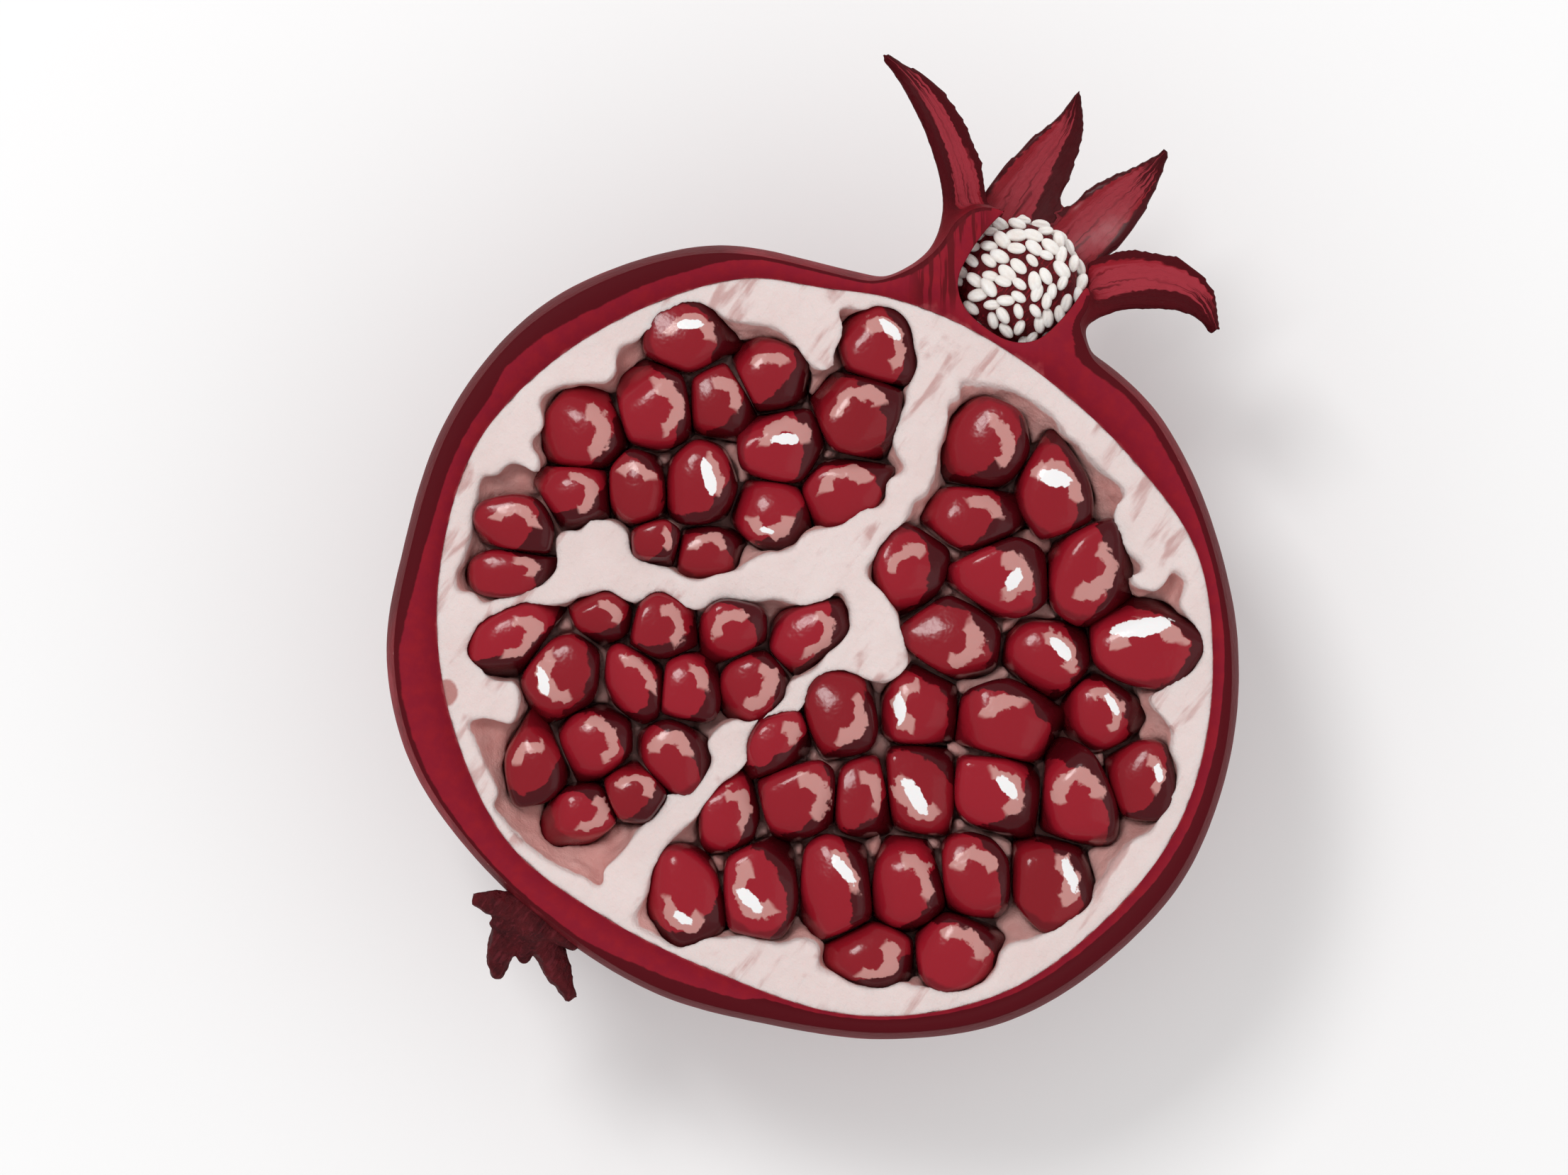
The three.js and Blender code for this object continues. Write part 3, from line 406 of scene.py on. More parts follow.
def turned(profile: Profile, at_x: float, at_z: float, columns: int = 96) -> bmesh.types.BMesh:
    """Makes a round solid about a line along +Y, from pairs of radius and distance along it.

    Args:
        profile: the pairs, from the low end to the high end.
        at_x: the line's X.
        at_z: the line's Z.
        columns: how many faces go round it.

    Returns:
        The solid.
    """
    rings = len(profile) - 1
    bm = new_ball(columns, rings)
    steps = np.array(profile)

    def move(places: np.ndarray) -> np.ndarray:
        """Gives each ring its radius and its distance along the line.

        Args:
            places: the vertices' places.

        Returns:
            The places after the move.
        """
        _, ring = ball_steps(places, columns, rings)
        turn = np.arctan2(places[:, 1], places[:, 0])
        radius = steps[ring, 0]
        return np.stack([at_x + radius * np.sin(turn), steps[ring, 1], at_z + radius * np.cos(turn)], axis=1)

    reshape(bm.verts[:], move)
    return bm


def fine_profile(points: Profile, per_step: int = 5) -> Profile:
    """Rounds a profile by adding points on a smooth line through it.

    Args:
        points: the profile.
        per_step: how many points each stretch is given.

    Returns:
        The finer profile.
    """
    line = Path((a, b, 0) for a, b in points)
    steps = (len(points) - 1) * per_step
    smooth = [line.at(k / steps) for k in range(steps + 1)]
    return [(max(0.0, p.x), p.y) for p in smooth]


def fruit_profile(bottom: float, widest: float, cut_share: float, above: float, fullness: float) -> Profile:
    """Gives a round fruit's side, from its underside to a little above the cut.

    Args:
        bottom: the height of the lowest point.
        widest: the share of the outline where it bulges furthest.
        cut_share: the share at the cut face.
        above: how far the shape goes on above the cut face.
        fullness: 2 for an ellipse, more for a fuller side.

    Returns:
        The profile.
    """
    steps = 34
    power = 2 / fullness
    angles = [math.pi / 2 * k / steps for k in range(steps + 1)]
    drop = WIDEST_Z - bottom
    profile = [(widest * math.sin(a) ** power, WIDEST_Z - drop * math.cos(a) ** power) for a in angles]
    profile[0] = (0.0, bottom)
    for k in range(1, 9):
        z = WIDEST_Z + (CUT_Z + above - WIDEST_Z) * k / 8
        t = (z - WIDEST_Z) / (CUT_Z - WIDEST_Z)
        profile.append((widest - (widest - cut_share) * t * t, z))
    profile.append((0.0, CUT_Z + above))
    return profile


def pour(part: bmesh.types.BMesh, whole: bmesh.types.BMesh) -> None:
    """Adds one part's mesh to another and frees it.

    Args:
        part: the mesh that is added.
        whole: the mesh that it is added to.
    """
    mesh = bpy.data.meshes.new("poured")
    part.to_mesh(mesh)
    part.free()
    whole.from_mesh(mesh)
    bpy.data.meshes.remove(mesh)


def trim_above(bm: bmesh.types.BMesh, height: float) -> None:
    """Cuts a mesh level at a height and drops what is above, which leaves it open there.

    Args:
        bm: the mesh.
        height: the height in its own unit.
    """
    everything = bm.verts[:] + bm.edges[:] + bm.faces[:]
    level = {"plane_co": (0, 0, height), "plane_no": (0, 0, 1)}
    bmesh.ops.bisect_plane(bm, geom=everything, dist=1e-4, clear_outer=True, **level)


class Clay:
    """A solid being shaped, kept as an object in metres until it is finished."""

    def __init__(self, name: str, parts: Iterable[bmesh.types.BMesh]) -> None:
        """Joins parts made in millimetres into one object, without merging them yet.

        Args:
            name: the object's name.
            parts: the parts, which are freed.
        """
        whole = bmesh.new()
        for part in parts:
            pour(part, whole)
        mesh = bpy.data.meshes.new(name)
        bmesh.ops.scale(whole, vec=(MM, MM, MM), verts=whole.verts)
        whole.to_mesh(mesh)
        whole.free()
        self.obj = bpy.data.objects.new(name, mesh)
        bpy.context.scene.collection.objects.link(self.obj)

    def _settle(self) -> None:
        """Applies what is on the object to its mesh."""
        graph = bpy.context.evaluated_depsgraph_get()
        settled = bpy.data.meshes.new_from_object(self.obj.evaluated_get(graph))
        old = self.obj.data
        self.obj.modifiers.clear()
        self.obj.data = settled
        bpy.data.meshes.remove(old)

    def fuse(self, grain: float) -> "Clay":
        """Grows overlapping parts together, to a fineness in millimetres.

        Args:
            grain: the size of the faces.

        Returns:
            The solid itself.
        """
        remesh = self.obj.modifiers.new("fuse", "REMESH")
        remesh.mode = "VOXEL"
        remesh.voxel_size = grain * MM
        self._settle()
        return self

    def carve(self, tool: "Clay") -> "Clay":
        """Takes another solid away, and removes that one.

        Args:
            tool: the other solid.

        Returns:
            The solid itself.
        """
        cut = self.obj.modifiers.new("carve", "BOOLEAN")
        cut.operation = "DIFFERENCE"
        cut.solver = "MANIFOLD"
        cut.object = tool.obj
        self._settle()
        tool.discard()
        return self

    def thin_below(self, height: float, share: float) -> "Clay":
        """Leaves fewer faces under a height, where the solid is hidden.

        Args:
            height: the height in millimetres.
            share: the share of all its faces that is kept.

        Returns:
            The solid itself.
        """
        below = self.obj.vertex_groups.new(name="below")
        below.add([v.index for v in self.obj.data.vertices if v.co.z < height * MM], 1.0, "REPLACE")
        thin = self.obj.modifiers.new("thin", "DECIMATE")
        thin.ratio = share
        thin.vertex_group = below.name
        self._settle()
        self.obj.vertex_groups.clear()
        return self

    def discard(self) -> None:
        """Removes the object and its mesh."""
        mesh = self.obj.data
        bpy.data.objects.remove(self.obj)
        bpy.data.meshes.remove(mesh)

    def release(self) -> bmesh.types.BMesh:
        """Gives the mesh back in millimetres, and removes the object.

        Returns:
            The mesh.
        """
        bm = bmesh.new()
        bm.from_mesh(self.obj.data)
        bmesh.ops.scale(bm, vec=(1 / MM, 1 / MM, 1 / MM), verts=bm.verts)
        self.discard()
        return bm


def soften(bm: bmesh.types.BMesh, times: int, verts: Sequence[bmesh.types.BMVert] | None = None) -> None:
    """Smooths a mesh, or some of its vertices, a number of times.

    Args:
        bm: the mesh.
        times: how many times.
        verts: the vertices, where not all of them.
    """
    chosen = verts if verts is not None else bm.verts[:]
    for _ in range(times):
        bmesh.ops.smooth_vert(bm, verts=chosen, factor=0.5, use_axis_x=True, use_axis_y=True, use_axis_z=True)


def finish_piece(
    bm: bmesh.types.BMesh, name: str, node: str, paint: Sequence[bpy.types.Material]
) -> bpy.types.Object:
    """Turns a mesh in millimetres into a dressed piece that stands for a node.

    Args:
        bm: the mesh, which is freed.
        name: the piece's name.
        node: the node that it stands for.
        paint: the materials, in the order of the faces' material numbers.

    Returns:
        The piece.
    """
    bmesh.ops.scale(bm, vec=(MM, MM, MM), verts=bm.verts)
    for face in bm.faces:
        face.smooth = True
    mesh = bpy.data.meshes.new(name)
    bm.to_mesh(mesh)
    bm.free()
    for material in paint:
        mesh.materials.append(material)
    piece = bpy.data.objects.new(name, mesh)
    bpy.context.scene.collection.objects.link(piece)
    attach(piece, "root")
    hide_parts(node)
    log.info("%s: %d faces", name, len(mesh.polygons))
    return piece


def tone(code: str, alpha: float = 1.0) -> tuple[float, float, float, float]:
    """Turns a colour written as six hex digits into linear light.

    Args:
        code: the six digits.
        alpha: how opaque it is.

    Returns:
        Red, green, blue and alpha.
    """
    levels = [int(code[k : k + 2], 16) / 255 for k in (0, 2, 4)]
    linear = [c / 12.92 if c <= 0.04045 else ((c + 0.055) / 1.055) ** 2.4 for c in levels]
    return (linear[0], linear[1], linear[2], alpha)


class Wiring:
    """Builds a node tree with short calls."""

    def __init__(self, tree: bpy.types.NodeTree) -> None:
        """Keeps the tree that nodes are added to."""
        self.tree = tree

    def add(self, kind: str, inputs: Inputs | None = None, **settings: object) -> bpy.types.Node:
        """Adds a node.

        Args:
            kind: the node's type.
            inputs: its inputs by name or number, as plain values or as sockets to link.
            settings: its other settings by name.

        Returns:
            The node.
        """
        node = self.tree.nodes.new(kind)
        for key, value in settings.items():
            setattr(node, key, value)
        for key, value in (inputs or {}).items():
            if isinstance(value, Socket):
                self.tree.links.new(value, node.inputs[key])
            else:
                node.inputs[key].default_value = value
        return node

    def millimetres(self) -> Socket:
        """Gives the piece's own coordinates in millimetres.

        Returns:
            The place.
        """
        spot = self.add("ShaderNodeTexCoord").outputs["Object"]
        scale = (1 / MM, 1 / MM, 1 / MM)
        return self.add("ShaderNodeMapping", {"Vector": spot, "Scale": scale}).outputs["Vector"]

    def height(self, spot: Socket) -> Socket:
        """Gives the Z of a place."""
        return self.add("ShaderNodeSeparateXYZ", {"Vector": spot}).outputs["Z"]

    def attribute(self, name: str, part: str = "Fac") -> Socket:
        """Reads a value that the mesh carries."""
        return self.add("ShaderNodeAttribute", attribute_name=name).outputs[part]

    def cloud(
        self, spot: Socket, scale: float, detail: float = 3.0, rough: float = 0.55, twist: float = 0.0
    ) -> Socket:
        """Gives soft noise.

        Args:
            spot: the place to read.
            scale: lumps a millimetre.
            detail: how many finer layers it has.
            rough: how strong those are.
            twist: how far it is swirled.

        Returns:
            The noise, from 0 to 1.
        """
        inputs = {"Vector": spot, "Scale": scale, "Detail": detail, "Roughness": rough, "Distortion": twist}
        return self.add("ShaderNodeTexNoise", inputs).outputs["Fac"]

    def sum(self, kind: str, a: Socket | float, b: Socket | float = 0.0) -> Socket:
        """Works out one sum on two numbers."""
        return self.add("ShaderNodeMath", {0: a, 1: b}, operation=kind).outputs[0]

    def fade(self, value: Socket, start: float, end: float, low: float = 0.0, high: float = 1.0) -> Socket:
        """Turns a value into a soft step.

        Args:
            value: what decides.
            start: where the step starts.
            end: where it ends.
            low: the level before it.
            high: the level after it.

        Returns:
            The level.
        """
        inputs = {"Value": value, "From Min": start, "From Max": end, "To Min": low, "To Max": high}
        return self.add("ShaderNodeMapRange", inputs, interpolation_type="SMOOTHSTEP").outputs[0]

    def blend(self, share: Socket | float, a: object, b: object) -> Socket:
        """Mixes two colours.

        Args:
            share: how much of the second.
            a: the first.
            b: the second.

        Returns:
            The colour.
        """
        node = self.add("ShaderNodeMix", data_type="RGBA")
        for socket, value in ((node.inputs[0], share), (node.inputs[6], a), (node.inputs[7], b)):
            if isinstance(value, Socket):
                self.tree.links.new(value, socket)
            else:
                socket.default_value = value
        return node.outputs[2]

    def product(self, *factors: Socket | float) -> Socket:
        """Multiplies numbers.

        Args:
            factors: the numbers.

        Returns:
            Their product.
        """
        result = factors[0]
        for factor in factors[1:]:
            result = self.sum("MULTIPLY", result, factor)
        return result

    def wobbled(self, value: Socket, noise_value: Socket, amount: float) -> Socket:
        """Adds noise about its middle to a value."""
        return self.sum("ADD", value, self.sum("MULTIPLY", self.sum("SUBTRACT", noise_value, 0.5), amount))

    def relief(self, height: Socket, depth: float, under: Socket | None = None) -> Socket:
        """Turns a height from 0 to 1 into a bumped normal, with a depth in millimetres.

        Args:
            height: the height.
            depth: how far 1 stands out.
            under: a normal to bump further.

        Returns:
            The normal.
        """
        inputs: Inputs = {"Height": height, "Distance": depth * MM, "Strength": 1.0}
        if under is not None:
            inputs["Normal"] = under
        return self.add("ShaderNodeBump", inputs).outputs["Normal"]


class SharedEffect:
    """A node group that several finishes use."""

    def __init__(
        self, name: str, inputs: Sequence[tuple[str, str, float]], outputs: Sequence[tuple[str, str]]
    ) -> None:
        """Makes the group's sockets.

        Args:
            name: the group's name.
            inputs: each input's name, kind and first value.
            outputs: each output's name and kind.
        """
        self.tree = bpy.data.node_groups.new(name, "ShaderNodeTree")
        for label, kind, value in inputs:
            socket = self.tree.interface.new_socket(name=label, in_out="INPUT", socket_type=kind)
            if kind == "NodeSocketFloat":
                socket.default_value = value
        for label, kind in outputs:
            self.tree.interface.new_socket(name=label, in_out="OUTPUT", socket_type=kind)
        self.wires = Wiring(self.tree)
        self.source = self.tree.nodes.new("NodeGroupInput")
        self.drain = self.tree.nodes.new("NodeGroupOutput")

    def give(self, label: str, value: Socket) -> None:
        """Connects one of the group's outputs."""
        self.tree.links.new(value, self.drain.inputs[label])

    def use(self, wires: Wiring, **inputs: object) -> bpy.types.Node:
        """Places the group in a material with its own values.

        Args:
            wires: the wiring of the material's tree.
            inputs: the group's inputs by name, in small letters.

        Returns:
            The group's node.
        """
        node = wires.add("ShaderNodeGroup", node_tree=self.tree)
        for label, value in inputs.items():
            socket = node.inputs[label.replace("_", " ").capitalize()]
            if isinstance(value, Socket):
                wires.tree.links.new(value, socket)
            else:
                socket.default_value = value
        return node


class Effects:
    """The effects that more than one finish uses."""

    def __init__(self) -> None:
        """Builds each group once."""
        self.mottle = self._mottle()
        self.fibres = self._fibres()

    @staticmethod
    def _mottle() -> SharedEffect:
        """Makes uneven colour: broad clouds with finer ones in them.

        Returns:
            The effect.
        """
        vector, number = "NodeSocketVector", "NodeSocketFloat"
        given_by = [("Place", vector, 0), ("Scale", number, 0.1), ("Contrast", number, 1)]
        effect = SharedEffect("mottle", given_by, [("Mask", number)])
        w, given = effect.wires, effect.source.outputs
        spot = given["Place"]
        coarse: Inputs = {"Vector": spot, "Scale": given["Scale"], "Detail": 2.0}
        broad = w.add("ShaderNodeTexNoise", coarse).outputs["Fac"]
        finer: Inputs = {"Vector": spot, "Scale": w.sum("MULTIPLY", given["Scale"], 4.3), "Detail": 4.0}
        fine = w.add("ShaderNodeTexNoise", finer).outputs["Fac"]
        both = w.sum("ADD", w.product(broad, 0.65), w.product(fine, 0.35))
        spread = w.product(w.sum("SUBTRACT", both, 0.5), given["Contrast"], 3.0)
        held = w.add("ShaderNodeClamp", {"Value": w.sum("ADD", spread, 0.5)}).outputs[0]
        effect.give("Mask", held)
        return effect

    @staticmethod
    def _fibres() -> SharedEffect:
        """Makes fine strands along one axis of the place that it is given.

        Returns:
            The effect.
        """
        vector, number = "NodeSocketVector", "NodeSocketFloat"
        given_by = [("Place", vector, 0), ("Scale", number, 1), ("Length", number, 8)]
        effect = SharedEffect("fibres", given_by, [("Mask", number), ("Height", number)])
        w, given = effect.wires, effect.source.outputs
        parts = w.add("ShaderNodeSeparateXYZ", {"Vector": given["Place"]}).outputs
        short = w.sum("DIVIDE", parts["Y"], given["Length"])
        pulled = w.add("ShaderNodeCombineXYZ", {"X": parts["X"], "Y": short, "Z": parts["Z"]}).outputs[0]
        grain: Inputs = {"Vector": pulled, "Scale": given["Scale"], "Detail": 4.0, "Distortion": 0.3}
        strands = w.add("ShaderNodeTexNoise", grain).outputs["Fac"]
        effect.give("Mask", w.fade(strands, 0.52, 0.66))
        effect.give("Height", strands)
        return effect


@dataclass(frozen=True)
class Gloss:
    """How a surface shines and how light sinks into it."""

    roughness: float
    coat: float = 0.0
    coat_roughness: float = 0.1
    sink: float = 0.0
    sink_depth: float = 1.0
    sink_tint: tuple[float, float, float] = (1.0, 0.3, 0.2)
    index: float = 1.45
    shine: float = 0.5


def new_material(name: str, gloss: Gloss) -> tuple[bpy.types.Material, Wiring, bpy.types.Node]:
    """Starts a material with its shader's own values set.

    Args:
        name: the material's name.
        gloss: its shine, and how far light sinks into it.

    Returns:
        The material, the wiring of its tree and its shader.
    """
    material = bpy.data.materials.new(name)
    material.use_nodes = True
    shader = next(n for n in material.node_tree.nodes if n.type == "BSDF_PRINCIPLED")
    values = {
        "Roughness": gloss.roughness,
        "Coat Weight": gloss.coat,
        "Coat Roughness": gloss.coat_roughness,
        "Subsurface Weight": gloss.sink,
        "Subsurface Scale": gloss.sink_depth * MM,
        "Subsurface Radius": gloss.sink_tint,
        "IOR": gloss.index,
        "Specular IOR Level": gloss.shine,
    }
    for label, value in values.items():
        shader.inputs[label].default_value = value
    return material, Wiring(material.node_tree), shader


@dataclass(frozen=True)
class RindFinish:
    """Leathery red skin, with a moist red band where it is cut."""

    skin: str = "8a1a26"
    shade: str = "5d131a"
    blush: str = "9f333e"
    freckle: str = "bd8580"
    band: str = "901c28"
    # The sepals' inner face, lighter down its middle: partly its own colour, partly painted highlight.
    inner: str = "9f333e"
    band_deep: str = "86192a"
    band_skin_and_shade: str = "540f17"
    band_lining: str = "bb5a60"
    # The sepals' dark colour: painted shade on their edges, and their own streaks and dry tips.
    leaf_shade_and_streak: str = "4c0d14"
    gloss: Gloss = Gloss(
        roughness=0.55, coat_roughness=0.32, sink=0.05, sink_depth=1.5, index=1.3, shine=0.12
    )
    neck: tuple[float, float, float, float] = (11.0, 23.5, 42.0, 46.0)

    def build(self, effects: Effects) -> bpy.types.Material:
        """Makes the material.

        Args:
            effects: the shared effects.

        Returns:
            The material.
        """
        material, w, shader = new_material("pomegranate_rind", self.gloss)
        spot = w.millimetres()
        height = w.height(spot)
        pores = w.add("ShaderNodeTexVoronoi", {"Vector": spot, "Scale": 0.42, "Randomness": 1.0})
        pore = pores.outputs["Distance"]
        veins = self._veins(w, effects)
        sepal = w.fade(w.attribute("sepal_along"), 0.12, 0.42)
        skin = self._skin(w, effects, spot, pore)
        # Painted shade: the skin just under the cut edge is darkened where the band's painted shade is wide.
        shaded = w.fade(w.attribute("rim_shade"), 0.08, 0.3)
        painted_outline_shade = w.product(shaded, w.fade(height, CUT_Z - 9, CUT_Z - 3), 0.85)
        skin = w.blend(painted_outline_shade, skin, tone(self.shade))
        dry = w.blend(sepal, skin, self._leaf(w, veins))
        cut = w.fade(height, CUT_Z - 0.22, CUT_Z - 0.12)
        w.tree.links.new(w.blend(cut, dry, self._band(w, spot)), shader.inputs["Base Color"])

        worn = w.fade(w.cloud(spot, 0.8, 4.0), 0.3, 0.7, 0.3, 0.5)
        waxy = w.product(w.fade(height, CUT_Z - 6, CUT_Z - 16), worn)
        w.tree.links.new(waxy, shader.inputs["Coat Weight"])
        rounded = w.sum("SUBTRACT", 1.0, w.product(cut, 0.7))
        bump = w.relief(w.product(w.cloud(spot, 0.9, 4.0, 0.5), rounded), 0.14)
        bump = w.relief(w.product(w.fade(pore, 0.02, 0.16), rounded), 0.05, bump)
        bump = w.relief(w.product(veins["Height"], sepal), 0.35, bump)
        w.tree.links.new(bump, shader.inputs["Normal"])
        return material

    def _skin(self, w: Wiring, effects: Effects, spot: Socket, pore: Socket) -> Socket:
        """Colours the skin: clouds of red and maroon, streaks from stem to crown, and pale pores.

        Args:
            w: the wiring of the material's tree.
            effects: the shared effects.
            spot: the place in millimetres.
            pore: the distance from the nearest pore.

        Returns:
            The colour.
        """
        clouds = effects.mottle.use(w, place=spot, scale=0.045, contrast=1.1).outputs["Mask"]
        colour = w.blend(clouds, tone(self.shade), tone(self.skin))
        flush = effects.mottle.use(w, place=spot, scale=0.11, contrast=0.9).outputs["Mask"]
        colour = w.blend(w.product(w.fade(flush, 0.5, 1.0), 0.6), colour, tone(self.blush))
        streaks = effects.fibres.use(w, place=spot, scale=0.55, length=9.0).outputs["Mask"]
        colour = w.blend(w.product(streaks, 0.4), colour, tone(self.shade))
        return w.blend(w.product(w.fade(pore, 0.10, 0.04), 0.4), colour, tone(self.freckle))

    @staticmethod
    def _veins(w: Wiring, effects: Effects) -> bpy.types.NodeOutputs:
        """Makes the streaks that run along each sepal.

        Args:
            w: the wiring of the material's tree.
            effects: the shared effects.

        Returns:
            The streaks' mask and height.
        """
        leaf_spot = w.add(
            "ShaderNodeCombineXYZ",
            {
                "X": w.product(w.attribute("sepal_across"), 5.0),
                "Y": w.product(w.attribute("sepal_along"), 30.0),
                "Z": w.attribute("sepal_inside"),
            },
        ).outputs[0]
        return effects.fibres.use(w, place=leaf_spot, scale=1.5, length=14.0).outputs

    def _leaf(self, w: Wiring, veins: bpy.types.NodeOutputs) -> Socket:
        """Colours a sepal: a lighter inner face whose light middle stripe is partly painted highlight,
        painted shade along its edges, and dark streaks and tip.

        Args:
            w: the wiring of the material's tree.
            veins: the streaks' mask and height.

        Returns:
            The colour.
        """
        across = w.attribute("sepal_across")
        along = w.attribute("sepal_along")
        height = veins["Height"]
        # A lighter middle stripe on the inner face: partly that face's own colour, partly painted highlight.
        colour = w.blend(w.fade(w.attribute("sepal_inside"), 0.35, 0.75), tone(self.skin), tone(self.inner))
        side = w.wobbled(w.sum("ABSOLUTE", across), height, 0.9)
        colour = w.blend(w.fade(side, 0.42, 0.6), colour, tone(self.band))
        colour = w.blend(w.fade(w.wobbled(along, height, 0.6), 0.34, 0.22), colour, tone(self.band))
        widening = w.fade(along, 0.1, 0.75, 0.35, 1.0)
        # Painted shade along each edge of the sepal, as wide as the mesh says.
        left = self._edge(w, w.product(across, -1.0), w.attribute("sepal_left_shade"), widening, height)
        right = self._edge(w, across, w.attribute("sepal_right_shade"), widening, height)
        tip = w.fade(w.wobbled(along, height, 0.9), 0.76, 0.88)
        base = w.fade(along, 0.62, 0.3, 0.35, 0.8)
        streak = w.product(veins["Mask"], base)
        dark = w.sum("MAXIMUM", w.sum("MAXIMUM", left, right), w.sum("MAXIMUM", tip, streak))
        return w.blend(dark, colour, tone(self.leaf_shade_and_streak))

    @staticmethod
    def _edge(w: Wiring, across: Socket, share: Socket, widening: Socket, height: Socket) -> Socket:
        """Masks the painted shade along one edge of a sepal, whose width is written on the mesh."""
        reach = w.sum("ADD", across, w.product(share, widening))
        return w.fade(w.wobbled(reach, height, 0.4), 0.88, 0.96)

    def _band(self, w: Wiring, spot: Socket) -> Socket:
        """Colours the cut band: red flesh whose outer part is painted dark over an uneven width, partly as
        the skin line and partly as painted shade.

        Args:
            w: the wiring of the material's tree.
            spot: the place in millimetres.

        Returns:
            The colour.
        """
        depth = w.attribute("rim_depth")
        ragged = w.cloud(spot, 0.5, 5.0)
        colour = w.blend(w.fade(ragged, 0.35, 0.75), tone(self.band_deep), tone(self.band))
        # Painted dark over the share in rim_shade: partly the outer skin line, partly painted shade.
        outer = w.sum("SUBTRACT", w.attribute("rim_shade"), w.wobbled(depth, ragged, 0.12))
        colour = w.blend(w.fade(outer, -0.02, 0.03), colour, tone(self.band_skin_and_shade))
        inner = w.fade(w.wobbled(depth, ragged, 0.2), 0.95, 1.05)
        colour = w.blend(w.product(inner, 0.7), colour, tone(self.band_lining))
        return w.blend(self._neck_streaks(w, spot), colour, tone(self.shade))

    def _neck_streaks(self, w: Wiring, spot: Socket) -> Socket:
        """Masks the dark streaks that run down from the left sepal over the neck.

        Args:
            w: the wiring of the material's tree.
            spot: the place in millimetres.

        Returns:
            The mask.
        """
        straight = w.add("ShaderNodeMapping", {"Vector": spot, "Rotation": (0.0, 0.0, -LEAN)}).outputs[0]
        parts = w.add("ShaderNodeSeparateXYZ", {"Vector": straight}).outputs
        short = w.sum("DIVIDE", parts["Y"], 12.0)
        pulled = w.add("ShaderNodeCombineXYZ", {"X": parts["X"], "Y": short, "Z": 0.0}).outputs[0]
        left, right, low, high = self.neck
        beside = w.product(w.fade(parts["X"], left, left + 3), w.fade(parts["X"], right, right - 3))
        thin = w.fade(w.cloud(pulled, 0.9, 3.0), 0.48, 0.54)
        return w.product(thin, beside, w.fade(parts["Y"], low, high), 0.9)


@dataclass(frozen=True)
class PithFinish:
    """Pale, spongy flesh: almost white where it is cut, and a darker pink below the cut, in the chambers, as
    painted shade of the hollows.
    """

    cut: str = "ebdad7"
    dull: str = "e2cbc7"
    strand: str = "c59995"
    # The darker pink of the chambers, painted shade of the hollows, mottled between two tones.
    wall: str = "d69690"
    wall_light: str = "dfaba5"
    bruise: str = "bd8580"
    bruise_middle: tuple[float, float] = (-47.3, -5.4)
    gloss: Gloss = Gloss(
        roughness=0.55, sink=0.3, sink_depth=2.5, sink_tint=(1.0, 0.55, 0.5), index=1.38, shine=0.3
    )

    def build(self, effects: Effects) -> bpy.types.Material:
        """Makes the material.

        Args:
            effects: the shared effects.

        Returns:
            The material.
        """
        material, w, shader = new_material("pomegranate_pith", self.gloss)
        spot = w.millimetres()
        ragged = w.cloud(spot, 0.32, 5.0, 0.6, 0.6)
        level = w.wobbled(w.height(spot), ragged, 2.0)
        # Painted shade: below the cut the flesh takes the darker pink wall tones of the shaded hollows.
        cut = w.fade(level, CUT_Z - 1.3, CUT_Z - 0.7)
        clouds = effects.mottle.use(w, place=spot, scale=0.12, contrast=1.2).outputs["Mask"]
        wall = w.blend(clouds, tone(self.wall), tone(self.wall_light))
        face = w.blend(w.product(clouds, 0.5), tone(self.cut), tone(self.dull))
        strands = effects.fibres.use(w, place=spot, scale=0.42, length=5.0).outputs
        patches = effects.mottle.use(w, place=spot, scale=0.05, contrast=1.6).outputs["Mask"]
        stained = w.product(strands["Mask"], w.fade(patches, 0.42, 0.72), 0.8)
        face = w.blend(stained, face, tone(self.strand))
        face = w.blend(self._bruise(w, spot, ragged), face, tone(self.bruise))
        w.tree.links.new(w.blend(cut, wall, face), shader.inputs["Base Color"])
        bump = w.relief(w.cloud(spot, 1.1, 6.0, 0.65), 0.3)
        bump = w.relief(strands["Height"], 0.3, bump)
        w.tree.links.new(bump, shader.inputs["Normal"])
        return material

    def _bruise(self, w: Wiring, spot: Socket, ragged: Socket) -> Socket:
        """Masks the small pink bruise at the flesh's left edge.

        Args:
            w: the wiring of the material's tree.
            spot: the place in millimetres.
            ragged: noise that frays its edge.

        Returns:
            The mask.
        """
        middle = place(*self.bruise_middle, CUT_Z)
        away = w.add("ShaderNodeVectorMath", {0: spot, 1: middle[:]}, operation="DISTANCE").outputs["Value"]
        return w.fade(w.wobbled(away, ragged, 1.2), 2.0, 1.5)


